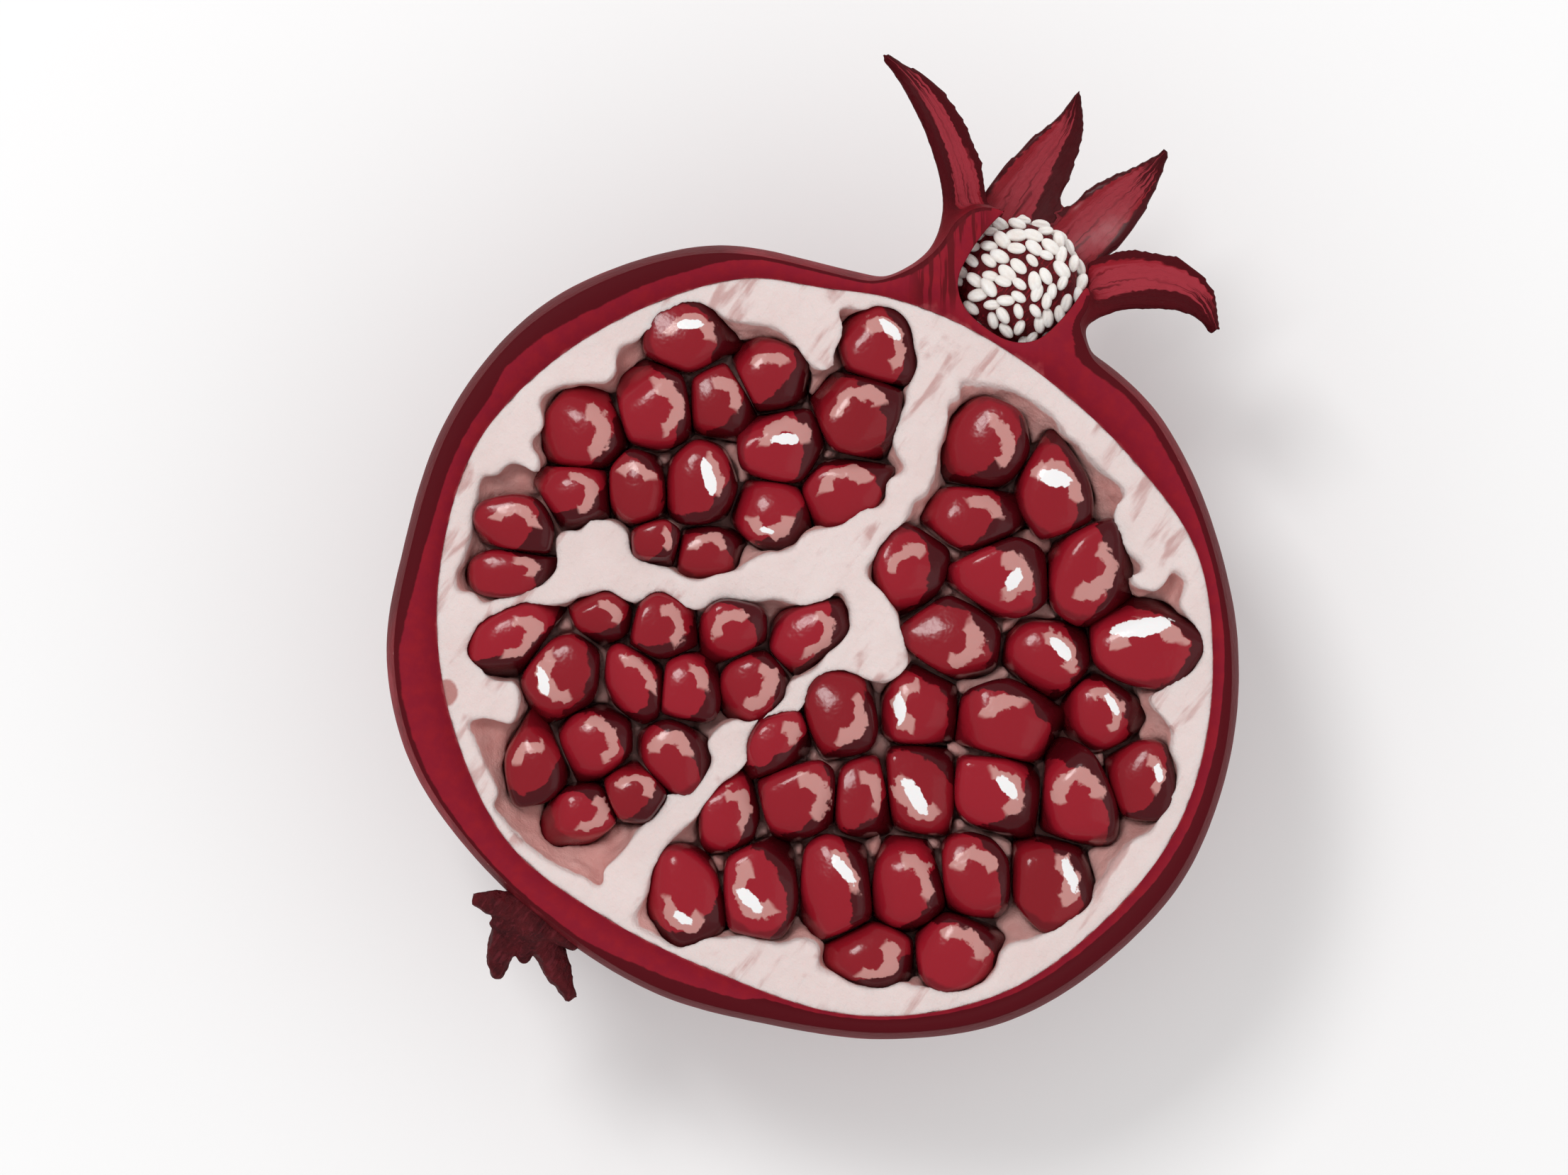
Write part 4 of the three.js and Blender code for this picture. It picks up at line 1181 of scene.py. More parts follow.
@dataclass(frozen=True)
class ArilFinish:
    """Wet ruby flesh with painted shade on one side, round its outline and underneath, pale broken strokes
    that are partly the seed showing through and partly painted highlight, and painted white glints on some.
    """

    flesh: str = "9a1928"
    ripe: str = "86141f"
    shade: str = "4a0810"
    # The pale strokes: partly the seed seen through the flesh, partly painted highlight.
    seed: str = "c48a85"
    # The painted white highlights.
    glint: str = "f4f2f2"
    gloss: Gloss = Gloss(
        roughness=0.2,
        coat=0.2,
        coat_roughness=0.06,
        sink=0.12,
        sink_depth=1.0,
        sink_tint=(1.0, 0.12, 0.1),
        index=1.36,
        shine=0.4,
    )

    def build(self) -> bpy.types.Material:
        """Makes the material.

        Returns:
            The material.
        """
        material, w, shader = new_material("pomegranate_aril", self.gloss)
        spot = w.millimetres()
        wander = w.cloud(spot, 0.45, 3.0, 0.5, 0.3)
        fine = w.cloud(spot, 1.3, 2.0)
        own = w.add("ShaderNodeSeparateXYZ", {"Vector": w.attribute("aril_place", "Vector")}).outputs
        look = w.add("ShaderNodeSeparateXYZ", {"Vector": w.attribute("aril_look", "Vector")}).outputs
        out = self._length(w, own["X"], own["Y"])

        colour = w.blend(look["Z"], tone(self.flesh), tone(self.ripe))
        # Painted shade: a dark crescent on one side, a dark outline and a darker underside.
        crescent = self._shade_crescent(w, own, out, wander)
        edge = w.fade(w.wobbled(out, wander, 0.25), 0.86, 0.97)
        low = w.fade(own["Z"], 0.0, -0.4)
        dark = w.sum("MAXIMUM", w.sum("MAXIMUM", crescent, w.product(edge, 0.5)), w.product(low, 0.3))
        colour = w.blend(dark, colour, tone(self.shade))
        # Pale stroke: partly the seed seen through the flesh, partly painted highlight.
        stroke = self._stroke(w, own, out, look, wander, fine)
        colour = w.blend(stroke, colour, tone(self.seed))
        # Painted highlight: a white glint on some arils.
        glint = self._glint(w, own, wander, fine)
        colour = w.blend(glint, colour, tone(self.glint))
        w.tree.links.new(colour, shader.inputs["Base Color"])
        w.tree.links.new(w.relief(w.cloud(spot, 0.6, 2.0), 0.1), shader.inputs["Normal"])
        return material

    @staticmethod
    def _length(w: Wiring, x: Socket, y: Socket) -> Socket:
        """Gives the length of a flat arrow."""
        flat = w.add("ShaderNodeCombineXYZ", {"X": x, "Y": y, "Z": 0.0}).outputs[0]
        return w.add("ShaderNodeVectorMath", {0: flat}, operation="LENGTH").outputs["Value"]

    @staticmethod
    def _shade_crescent(w: Wiring, own: bpy.types.NodeOutputs, out: Socket, wander: Socket) -> Socket:
        """Masks the painted shade crescent along one side, whose way is written on the mesh.

        Args:
            w: the wiring of the material's tree.
            own: the place in the aril's own box.
            out: how far out that is.
            wander: noise for its edge.

        Returns:
            The mask.
        """
        way = w.attribute("aril_shade", "Vector")
        lean = w.add("ShaderNodeCombineXYZ", {"X": own["X"], "Y": own["Y"], "Z": 0.0}).outputs[0]
        side = w.add("ShaderNodeVectorMath", {0: lean, 1: way}, operation="DOT_PRODUCT").outputs["Value"]
        facing = w.sum("DIVIDE", side, w.sum("MAXIMUM", out, 0.05))
        return w.fade(w.wobbled(w.sum("ADD", out, facing), wander, 0.5), 0.96, 1.01)

    def _stroke(
        self,
        w: Wiring,
        own: bpy.types.NodeOutputs,
        out: Socket,
        look: bpy.types.NodeOutputs,
        wander: Socket,
        fine: Socket,
    ) -> Socket:
        """Masks the pale stroke that bends round the seed, and breaks off on one side: partly the seed seen
        through the flesh, partly painted highlight.

        Args:
            w: the wiring of the material's tree.
            own: the place in the aril's own box.
            out: how far out that is.
            look: the gap's turn, its width and the ripeness.
            wander: broad noise for its edge.
            fine: fine noise for its edge.

        Returns:
            The mask.
        """
        ring = w.wobbled(out, wander, 0.5)
        ring = w.wobbled(ring, fine, 0.12)
        inner = w.fade(ring, 0.3, 0.35)
        outer = w.fade(ring, 0.66, 0.61)
        turn = w.sum("ARCTAN2", own["Y"], own["X"])
        from_gap = w.sum("COSINE", w.sum("SUBTRACT", turn, look["X"]), 0.0)
        open_side = w.fade(w.wobbled(from_gap, wander, 0.5), look["Y"], w.sum("SUBTRACT", look["Y"], 0.2))
        above = w.fade(own["Z"], 0.25, 0.45)
        return w.product(inner, outer, open_side, above)

    def _glint(self, w: Wiring, own: bpy.types.NodeOutputs, wander: Socket, fine: Socket) -> Socket:
        """Masks the painted white highlight that some arils are given: a short dash whose place and size are
        on the mesh.

        Args:
            w: the wiring of the material's tree.
            own: the place in the aril's own box.
            wander: broad noise for its edge.
            fine: fine noise for its edge.

        Returns:
            The mask.
        """
        mark = w.add("ShaderNodeSeparateXYZ", {"Vector": w.attribute("aril_glint", "Vector")}).outputs
        dx, dy = (w.sum("SUBTRACT", own[axis], mark[axis]) for axis in ("X", "Y"))
        across = w.sum("ADD", w.product(dx, mark["X"]), w.product(dy, mark["Y"]))
        off = w.sum("DIVIDE", across, w.sum("MAXIMUM", self._length(w, mark["X"], mark["Y"]), 0.05))
        narrow = self._length(w, w.product(off, 2.3), self._length(w, dx, dy))
        size = w.sum("SUBTRACT", mark["Z"], w.wobbled(w.wobbled(narrow, fine, 0.3), wander, 0.35))
        return w.product(w.fade(size, 0.0, 0.05), w.fade(own["Z"], 0.2, 0.4), w.fade(mark["Z"], 0.02, 0.05))


@dataclass(frozen=True)
class AntherFinish:
    """Dry ivory anthers."""

    ivory: str = "fbf8f4"
    shade: str = "e2cdc0"
    gloss: Gloss = Gloss(roughness=0.6, sink=0.1, sink_depth=0.6, sink_tint=(1.0, 0.7, 0.5), shine=0.3)

    def build(self, effects: Effects) -> bpy.types.Material:
        """Makes the material.

        Args:
            effects: the shared effects.

        Returns:
            The material.
        """
        material, w, shader = new_material("pomegranate_anther", self.gloss)
        spot = w.millimetres()
        clouds = effects.mottle.use(w, place=spot, scale=0.8, contrast=1.0).outputs["Mask"]
        colour = w.blend(w.product(clouds, 0.4), tone(self.ivory), tone(self.shade))
        w.tree.links.new(colour, shader.inputs["Base Color"])
        w.tree.links.new(w.relief(w.cloud(spot, 6.0, 3.0), 0.06), shader.inputs["Normal"])
        return material


@dataclass(frozen=True)
class FilamentFinish:
    """Dark red packed filaments."""

    thread: str = "901c28"
    shade: str = "5d131a"
    gloss: Gloss = Gloss(roughness=0.6, shine=0.2)

    def build(self, effects: Effects) -> bpy.types.Material:
        """Makes the material.

        Args:
            effects: the shared effects.

        Returns:
            The material.
        """
        material, w, shader = new_material("pomegranate_filament", self.gloss)
        spot = w.millimetres()
        strands = effects.fibres.use(w, place=spot, scale=3.0, length=5.0).outputs
        colour = w.blend(strands["Mask"], tone(self.shade), tone(self.thread))
        w.tree.links.new(colour, shader.inputs["Base Color"])
        w.tree.links.new(w.relief(strands["Height"], 0.3), shader.inputs["Normal"])
        return material


@dataclass(frozen=True)
class StemFinish:
    """Dry, woody, dark maroon stem end."""

    bark: str = "5d131a"
    shade: str = "3f0c12"
    worn: str = "762630"
    gloss: Gloss = Gloss(roughness=0.65, shine=0.2)

    def build(self, effects: Effects) -> bpy.types.Material:
        """Makes the material.

        Args:
            effects: the shared effects.

        Returns:
            The material.
        """
        material, w, shader = new_material("pomegranate_stem", self.gloss)
        spot = w.millimetres()
        clouds = effects.mottle.use(w, place=spot, scale=0.35, contrast=1.2).outputs["Mask"]
        strands = effects.fibres.use(w, place=spot, scale=2.2, length=6.0).outputs
        colour = w.blend(clouds, tone(self.shade), tone(self.bark))
        colour = w.blend(w.product(strands["Mask"], 0.4), colour, tone(self.worn))
        w.tree.links.new(colour, shader.inputs["Base Color"])
        bump = w.relief(strands["Height"], 0.4)
        w.tree.links.new(w.relief(w.cloud(spot, 3.0, 4.0), 0.2, bump), shader.inputs["Normal"])
        return material


StrapMark = tuple[Vector, tuple[float, float, float, float, float]]


@dataclass(frozen=True)
class Strap:
    """A leathery strap along a line: a sepal, or a strip of the torn stem end."""

    path: tuple[tuple[float, float, float], ...]
    widths: tuple[float, ...]
    looks: tuple[tuple[float, float, float], tuple[float, float, float]]
    thick: tuple[float, float]
    cup: float
    edge: float
    wave: float = 0.0
    # How wide the painted shade is along the left and the right edge.
    shaded_edges: tuple[float, float] = (0.0, 0.0)
    cuts: int = 23

    def build(self, seed: int) -> tuple[bmesh.types.BMesh, list[StrapMark]]:
        """Makes the strap.

        Args:
            seed: sets how its edges wave.

        Returns:
            The mesh, and marks on it: each one's place, its share across, its share along, its side from 0 to
                1, and how wide the painted shade along its left and its right edge is.
        """
        bm = bmesh.new()
        bmesh.ops.create_cube(bm, size=1.0)
        bmesh.ops.subdivide_edges(bm, edges=bm.edges[:], cuts=self.cuts, use_grid_fill=True)
        line = Path(self.path)
        root, tip = (Vector(look) for look in self.looks)
        marks = []
        for vert in bm.verts:
            x, t, z = vert.co.x, min(max(vert.co.y + 0.5, 0.0), 1.0), vert.co.z
            forward = line.direction(t)
            look = root.lerp(tip, t)
            look = (look - forward * forward.dot(look)).normalized()
            side = forward.cross(look)
            off = 4 * x * x
            width = eased(self.widths, t)
            thick = self.thick[0] + (self.thick[1] - self.thick[0]) * t * t
            beat = 9 * t + 2.5 * seed + (1.3 if x > 0 else 0.0)
            ripple = self.wave * off * math.sin(beat) * min(1.0, 2 * t)
            lift = self.cup * off * min(1.0, width / 8) + ripple + z * thick * (1 - (1 - self.edge) * off)
            vert.co = line.at(t) + side * (x * width) + look * lift
            marks.append((vert.co.copy(), (2 * x, t, 0.5 + z, *self.shaded_edges)))
        return bm, marks


class Fruit:
    """What the rind and the pith share: the fruit's body."""

    skin_bottom: float = -0.6
    skin_rim: float = 0.975
    skin_fullness: float = 2.15
    rind_under: float = 3.4
    pith_bulge: float = 1.015
    ribs: int = 6
    rib_share: float = 0.018
    rib_radius: float = 54.0

    def ribbed(self, places: np.ndarray) -> np.ndarray:
        """Raises soft ribs that run from stem to crown over the underside.

        Args:
            places: the vertices' places.

        Returns:
            The places after the move.
        """
        down = places[:, 2] - WIDEST_Z
        reach = np.hypot(places[:, 0], down) / self.rib_radius
        wave = (1 + np.cos(self.ribs * (np.arctan2(down, places[:, 0]) + math.pi / 2))) / 2
        swell = np.where(down < 0, 1 + self.rib_share * wave * reach * reach, 1.0)
        return np.stack([places[:, 0] * swell, places[:, 1], WIDEST_Z + down * swell], axis=1)

    def skin(self, columns: int, above: float) -> bmesh.types.BMesh:
        """Makes the outside, up to a little above the cut face.

        Args:
            columns: how many faces go round it.
            above: how far above the cut face it goes.

        Returns:
            The solid.
        """
        profile = fruit_profile(self.skin_bottom, 1.0, self.skin_rim, above, self.skin_fullness)
        bm = lofted(outline_points(SKIN_OUTLINE, columns), place(0, 0), profile)
        reshape(bm.verts[:], self.ribbed)
        return bm

    def flesh(self, columns: int, margin: float, above: float) -> bmesh.types.BMesh:
        """Makes the pale flesh's outer body, grown by a margin."""
        profile = fruit_profile(self.rind_under - margin, self.pith_bulge, 1.0, above, self.skin_fullness)
        return lofted(outline_points(PITH_OUTLINE, columns, margin), place(0, 0), profile)


@dataclass(frozen=True)
class Crown:
    """The crown: a short tube with four pointed sepals, hollowed to a cup."""

    x: float = -8.5
    z: float = CUT_Z - 4
    slant: float = 0.33
    slant_y: tuple[float, float] = (43.0, 57.0)
    cup_x: float = -7.6
    thick: tuple[float, float] = (2.4, 1.35)

    def tube(self) -> bmesh.types.BMesh:
        """Makes the tube, which flares into the fruit and leaves it higher on its right.

        Returns:
            The solid.
        """
        outside: Profile = [
            (0, 36), (17, 39.5), (13.6, 43), (11.7, 45.8), (10.8, 48.6), (10.6, 52), (10.8, 54.6),
            (9.8, 57.6), (6.5, 59.6), (0, 60.2),
        ]
        bm = turned(fine_profile(outside), 0.0, self.z)

        def move(places: np.ndarray) -> np.ndarray:
            """Slants the tube's foot and sets the tube beside the fruit's middle.

            Args:
                places: the vertices' places.

            Returns:
                The places after the move.
            """
            t = np.clip((places[:, 1] - self.slant_y[0]) / (self.slant_y[1] - self.slant_y[0]), 0, 1)
            fade = 1 - t * t * (3 - 2 * t)
            places[:, 1] += self.slant * (places[:, 0] + 13) * fade
            places[:, 0] += self.x
            return places

        reshape(bm.verts[:], move)
        return bm

    def cup(self) -> bmesh.types.BMesh:
        """Makes the cup's hollow."""
        inside: Profile = [
            (0, 45.7), (4.8, 46.2), (7.3, 48.5), (8.1, 52), (8.2, 56.5), (7.6, 59.5), (5.2, 61.8), (0, 62.4),
        ]
        return turned(fine_profile(inside), self.cup_x, self.z)

    def sepals(self) -> list[Strap]:
        """Gives the four sepals, from the left one round to the right one.

        Returns:
            The sepals.
        """
        lines = (
            (
                (-17, 49, -5.5), (-17.9, 53.6, -5.6), (-20.5, 57.9, -5.6), (-25.6, 61.9, -5.2),
                (-32.4, 64.9, -4), (-39, 66.1, -2.4),
            ),
            (
                (-13, 48, -12.4), (-13.3, 55.4, -13.4), (-14, 62.8, -13.9), (-14.3, 69.3, -13),
                (-14.6, 73.8, -11.4), (-16.2, 78, -9.2),
            ),
            (
                (-4.6, 48, -12.4), (-4.6, 55.4, -13.4), (-4.3, 62.8, -14.2), (-3.5, 69.3, -13.8),
                (-2.7, 74, -12.4), (-2.5, 79, -10),
            ),
            (
                (0, 50, -5.5), (0.5, 55.2, -5.7), (2.4, 59.9, -6), (6.6, 63.5, -6.2), (11.7, 65.2, -6.4),
                (16.7, 63.4, -7),
            ),
        )
        widths = (
            (8.4, 8.6, 8, 7.4, 5.8, 1.4),
            (8.6, 9.4, 9.3, 7.6, 4.6, 1.2),
            (8.4, 9, 8.9, 8, 5, 1.2),
            (8.4, 9, 9.8, 9.2, 6.4, 1.4),
        )
        looks = (
            ((0.8, 0, 0.6), (0.3, 0.7, 0.62)),
            ((0.3, 0, 0.95), (0.1, -0.4, 0.9)),
            ((-0.3, 0, 0.95), (0, -0.4, 0.9)),
            ((-0.8, 0, 0.6), (-0.1, 0.55, 0.8)),
        )
        # How wide the painted shade is along each sepal's left and right edge.
        shaded_edges = ((0.6, 0.5), (0.16, 0.75), (0.2, 0.3), (0.35, 0.7))
        return [
            Strap(
                path=tuple((x, y, CUT_Z + z) for x, y, z in line),
                widths=width,
                looks=look,
                thick=self.thick,
                cup=1.3,
                edge=0.5,
                wave=0.2,
                shaded_edges=edges,
            )
            for line, width, look, edges in zip(lines, widths, looks, shaded_edges)
        ]


@dataclass(frozen=True)
class Rind:
    """The skin, its crown and its sepals, cut open."""

    fruit: Fruit
    crown: Crown
    grain: float = 0.6
    edge_steps: tuple[tuple[float, float], ...] = ((0.16, 0.06), (0.09, 0.19))
    lap: float = 0.1
    cup_rim: tuple[float, float] = (9.0, 0.85)

    def build(self, paint: bpy.types.Material) -> bpy.types.Object:
        """Makes the rind and dresses it.

        Args:
            paint: its material.

        Returns:
            The piece.
        """
        straps = [strap.build(seed) for seed, strap in enumerate(self.crown.sepals())]
        skin = self.fruit.skin(SKIN_COLUMNS, 2.5)
        whole = Clay("rind_clay", [skin, self.crown.tube(), *(bm for bm, _ in straps)])
        bm = whole.fuse(self.grain).release()
        soften(bm, 14, [v for v in bm.verts if self._in_neck(v.co)])
        clay = Clay("rind_clay", [bm]).carve(Clay("cup_tool", [self.crown.cup()]))
        bm = clay.fuse(self.grain).release()
        soften(bm, 3)
        reshape(bm.verts[:], self._weathered)
        self._slice(bm)
        self._line(bm)
        self._mark_sepals(bm, [mark for _, marks in straps for mark in marks])
        return finish_piece(bm, "pomegranate_rind", "rind", [paint])

    def _in_neck(self, spot: Vector) -> bool:
        """Tells whether a place lies where the skin flows into the crown."""
        off_axis = math.hypot(spot.x - self.crown.x, spot.z - self.crown.z)
        return 38 < spot.y < 50 + 0.2 * (off_axis - 9) and 9 < off_axis < 26

    @staticmethod
    def _weathered(places: np.ndarray) -> np.ndarray:
        """Adds shallow dents and lumps, and flattens the spot that it rests on.

        Args:
            places: the vertices' places.

        Returns:
            The places after the move.
        """
        middle = Vector((0, 0, 30))
        for k, p in enumerate(places):
            spot = Vector(p)
            lump = noise.noise(spot * 0.07) * 0.45 + noise.noise(spot * 0.35) * 0.09
            share = min(1.0, max(0.0, (CUT_Z - 3 - p[2]) / 12))
            outward = (spot - middle).normalized()
            places[k] = spot + outward * (lump * share)
        places[:, 2] = np.maximum(places[:, 2], 0.0)
        return places

    def _slice(self, bm: bmesh.types.BMesh) -> None:
        """Cuts the fruit at the cut face, with a slightly softened edge.

        Args:
            bm: the fruit's mesh.
        """
        rise = sum(step[0] for step in self.edge_steps)
        trim_above(bm, CUT_Z - rise)
        rim = [e for e in bm.edges if e.is_boundary]
        inward = {}
        for vert in {v for e in rim for v in e.verts}:
            normal = sum((f.normal for f in vert.link_faces), Vector())
            inward[vert] = Vector((-normal.x, -normal.y, 0)).normalized()
        for up, inset in self.edge_steps:
            grown = bmesh.ops.extrude_edge_only(bm, edges=rim)["geom"]
            fresh = {g for g in grown if isinstance(g, bmesh.types.BMVert)}
            carried = {}
            for vert in fresh:
                old = next(e.other_vert(vert) for e in vert.link_edges if e.other_vert(vert) not in fresh)
                carried[vert] = inward[old]
            for vert, way in carried.items():
                vert.co += way * inset + Vector((0, 0, up))
            inward = carried
            rim = [g for g in grown if isinstance(g, bmesh.types.BMEdge) and g.is_boundary]

    def _line(self, bm: bmesh.types.BMesh) -> None:
        """Adds the inner wall and closes the band between it and the skin.

        Args:
            bm: the cut fruit's mesh.
        """
        depth = bm.verts.layers.float.new("rim_depth")
        shade = bm.verts.layers.float.new("rim_shade")
        wall = self.fruit.flesh(FLESH_COLUMNS, -self.lap, 2.0)
        trim_above(wall, CUT_Z)
        bmesh.ops.reverse_faces(wall, faces=wall.faces[:])
        before = set(bm.verts)
        pour(wall, bm)
        cup_radius, cup_depth = self.cup_rim
        for vert in bm.verts:
            u, v = on_layout(vert.co)
            turn = math.degrees(math.atan2(v, u)) % 360
            # The share of the band painted dark, partly skin line and partly painted shade.
            vert[shade] = float(np.interp(turn, *zip(*SKIN_SHADE)))
            vert[depth] = 0.0 if vert in before else 1.0
            from_cup = math.hypot(vert.co.x - self.crown.cup_x, vert.co.z - self.crown.z)
            if vert in before and vert.co.y > 44 and from_cup < cup_radius:
                vert[depth] = cup_depth
        rim = [e for e in bm.edges if e.is_boundary]
        bmesh.ops.triangle_fill(bm, use_beauty=True, use_dissolve=False, edges=rim, normal=(0, 0, 1))

    @staticmethod
    def _mark_sepals(bm: bmesh.types.BMesh, marks: Sequence[StrapMark]) -> None:
        """Writes on each vertex near a sepal where on that sepal it lies.

        Args:
            bm: the rind's mesh.
            marks: the marks of all the sepals.
        """
        tree = kdtree.KDTree(len(marks))
        for k, (spot, _) in enumerate(marks):
            tree.insert(spot, k)
        tree.balance()
        names = ("sepal_across", "sepal_along", "sepal_inside", "sepal_left_shade", "sepal_right_shade")
        layers = [bm.verts.layers.float.new(name) for name in names]
        for vert in bm.verts:
            if vert.co.y < 44:
                continue
            _, k, gap = tree.find(vert.co)
            near = max(0.0, 1 - max(0.0, gap - 0.8) / 2.0)
            across, along, *others = marks[k][1]
            for layer, value in zip(layers, (across, along * near, *others)):
                vert[layer] = value


def hold(directions: np.ndarray, facets: np.ndarray, sharpness: float) -> np.ndarray:
    """Gives how hard a set of flat sides holds each direction of a ball back.

    Args:
        directions: the directions.
        facets: each side's direction, longer for a nearer side.
        sharpness: how sharp the edges between sides are.

    Returns:
        One number for each direction.
    """
    if len(facets) == 0:
        return np.zeros(len(directions))
    return (np.maximum(0, directions @ facets.T) ** sharpness).sum(axis=1) ** (1 / sharpness)


@dataclass(frozen=True)
class Aril:
    """One juicy seed: a ball pressed flat against its neighbours."""

    u: float
    v: float
    long: float
    wide: float
    heading: float
    number: int
    soft: float = 7.0
    hard: float = 16.0
    taper: float = 0.12
    least_tall: float = 4.6
    tall_growth: float = 0.45
    proud: tuple[float, float] = (-0.3, 1.9)
    press_gap: float = 0.16
    roundness: float = 0.45

    @property
    def tall(self) -> float:
        """The height from its foot to its top."""
        return self.least_tall + self.tall_growth * self.wide

    def reach(self, angle: float) -> float:
        """Gives how far it reaches from its middle in a direction of the layout."""
        turn = angle - math.radians(self.heading)
        return math.hypot(self.long / 2 * math.cos(turn), self.wide / 2 * math.sin(turn))

    def own_facets(self) -> np.ndarray:
        """Gives its own flat sides: a ring of sides, one up and one down, each a little askew.

        Returns:
            The sides.
        """
        i = self.number
        sides = 5 + int(draw(i, 1) * 2)
        found = []
        for k in range(sides):
            a = (k + 0.35 * draw(i, 10 + k)) / sides * 2 * math.pi + draw(i, 2)
            side = Vector((math.cos(a), math.sin(a), 0.7 * (draw(i, 30 + k) - 0.35))).normalized()
            found.append(side / (0.92 + 0.14 * draw(i, 50 + k)))
        found.append(Vector((0.4 * (draw(i, 70) - 0.5), 0.4 * (draw(i, 71) - 0.5), 1)))
        found.append(Vector((0.2, -0.1, -1)))
        return np.array([f[:] for f in found])

    def pressed_facets(self, others: Sequence["Aril"]) -> np.ndarray:
        """Gives the flat sides that its neighbours press into it.

        Args:
            others: the arils of its chamber.

        Returns:
            The sides.
        """
        found = []
        for other in others:
            du, dv = other.u - self.u, other.v - self.v
            apart, angle = math.hypot(du, dv), math.atan2(dv, du)
            mine, theirs = self.reach(angle), other.reach(angle)
            if other is self or mine + theirs < apart - self.press_gap:
                continue
            reach = apart * mine / (mine + theirs) - self.press_gap / 2
            turn = angle - math.radians(self.heading)
            found.append((self.long / 2 * math.cos(turn) / reach, self.wide / 2 * math.sin(turn) / reach, 0))
        return np.array(found)

    def shape(
        self, directions: np.ndarray, others: Sequence["Aril"], grow: float = 0.0
    ) -> tuple[np.ndarray, np.ndarray]:
        """Places the points of a unit ball on the aril.

        Args:
            directions: the ball's points.
            others: the arils of its chamber.
            grow: how much bigger than life it is made, in millimetres.

        Returns:
            The points in the part's frame, and each one's place inside the aril's own box, from -1 to 1.
        """
        soft = hold(directions, self.own_facets(), self.soft)
        hard = hold(directions, self.pressed_facets(others), self.hard)
        held = (soft**self.hard + hard**self.hard) ** (1 / self.hard)
        up = np.clip(directions[:, 2], 0, 1)
        own = directions / (held ** (1 - self.roundness * up * up * (3 - 2 * up)))[:, None]
        own[:, 1] *= 1 - self.taper * directions[:, 0]
        local = own * np.array([self.long / 2 + grow, self.wide / 2 + grow, self.tall / 2 + grow])
        turn = math.radians(self.heading) + LEAN
        c, s = math.cos(turn), math.sin(turn)
        top = self.proud[0] + (self.proud[1] - self.proud[0]) * draw(self.number, 5)
        middle = place(self.u, self.v, CUT_Z + top - self.tall / 2)
        x = middle.x + local[:, 0] * c - local[:, 1] * s
        y = middle.y + local[:, 0] * s + local[:, 1] * c
        return np.stack([x, y, middle.z + local[:, 2]], axis=1), own

    def own_spot(self, u: float, v: float) -> tuple[float, float]:
        """Turns a spot of the layout into a place in the aril's own box, from -1 to 1.

        Args:
            u: distance to the right on the layout.
            v: distance up on the layout.

        Returns:
            The share along and the share across.
        """
        du, dv = u - self.u, v - self.v
        turn = math.radians(self.heading)
        along = du * math.cos(turn) + dv * math.sin(turn)
        across = dv * math.cos(turn) - du * math.sin(turn)
        return (2 * along / self.long, 2 * across / self.wide)

    def shade_way(self) -> tuple[float, float, float]:
        """Gives the way of its painted shade crescent in its own box: longer for a wider crescent.

        Returns:
            The way.
        """
        angle = math.radians(-8 + 130 * (draw(self.number, 91) - 0.5) - self.heading)
        strength = 0.34 + 0.3 * draw(self.number, 92)
        return (strength * math.cos(angle), strength * math.sin(angle), 0.0)

    def look(self) -> tuple[float, float, float]:
        """Gives the turn of its pale stroke's gap, how wide the gap is, and how ripe the aril is.

        Returns:
            The three values.
        """
        x, y, size = self.glint()
        away = math.radians(50 + 200 * (draw(self.number, 93) - 0.5) - self.heading)
        way = math.atan2(y, x) if size else away
        gap_turn = way + math.pi + 0.8 * (draw(self.number, 95) - 0.5)
        return (gap_turn, 0.25 - 0.8 * draw(self.number, 94), draw(self.number, 90))

    def glint(self) -> tuple[float, float, float]:
        """Gives its painted glint's place in its own box and its size, or a size of nothing.

        Returns:
            The three values.
        """
        for u, v, size in GLINTS:
            x, y = self.own_spot(u, v)
            if math.hypot(x, y) < 0.95:
                return (x, y, size)
        return (0.0, 0.0, 0.0)


class ArilBunch:
    """The arils of one chamber."""

    def __init__(self, hollow: Hollow) -> None:
        """Lists the chamber's arils, numbered through all the chambers.

        Args:
            hollow: the chamber.
        """
        self.hollow = hollow
        first = 0
        for each in Hollow:
            if each is hollow:
                break
            first += len(ARILS[each])
        self.arils = [
            Aril(u, v, long + PLUMP, wide + PLUMP, heading, number=first + k)
            for k, (u, v, long, wide, heading) in enumerate(ARILS[hollow])
        ]

    def sockets(self, grow: float) -> list[bmesh.types.BMesh]:
        """Makes coarse copies of the arils, a little bigger, to press into the flesh.

        Args:
            grow: how much bigger, in millimetres.

        Returns:
            The copies.
        """
        made = []
        for aril in self.arils:
            bm = bmesh.new()
            bmesh.ops.create_icosphere(bm, subdivisions=3, radius=1.0)
            reshape(bm.verts[:], lambda p, a=aril: a.shape(p, self.arils, grow)[0])
            made.append(bm)
        return made

    def build(self, paint: bpy.types.Material) -> bpy.types.Object:
        """Makes the arils and dresses them.

        Args:
            paint: its material.

        Returns:
            The piece.
        """
        bm = bmesh.new()
        names = ("aril_place", "aril_look", "aril_shade", "aril_glint")
        where, look, shade, glint = (bm.verts.layers.float_vector.new(name) for name in names)
        for aril in self.arils:
            verts = bmesh.ops.create_icosphere(bm, subdivisions=5, radius=1.0)["verts"]
            points, own = aril.shape(np.array([v.co[:] for v in verts]), self.arils)
            for vert, point, inside in zip(verts, points, own):
                vert.co = point
                vert[where] = inside
                vert[look] = aril.look()
                vert[shade] = aril.shade_way()
                vert[glint] = aril.glint()
        name = f"pomegranate_arils_{self.hollow.value}"
        return finish_piece(bm, name, f"arils_{self.hollow.value}", [paint])


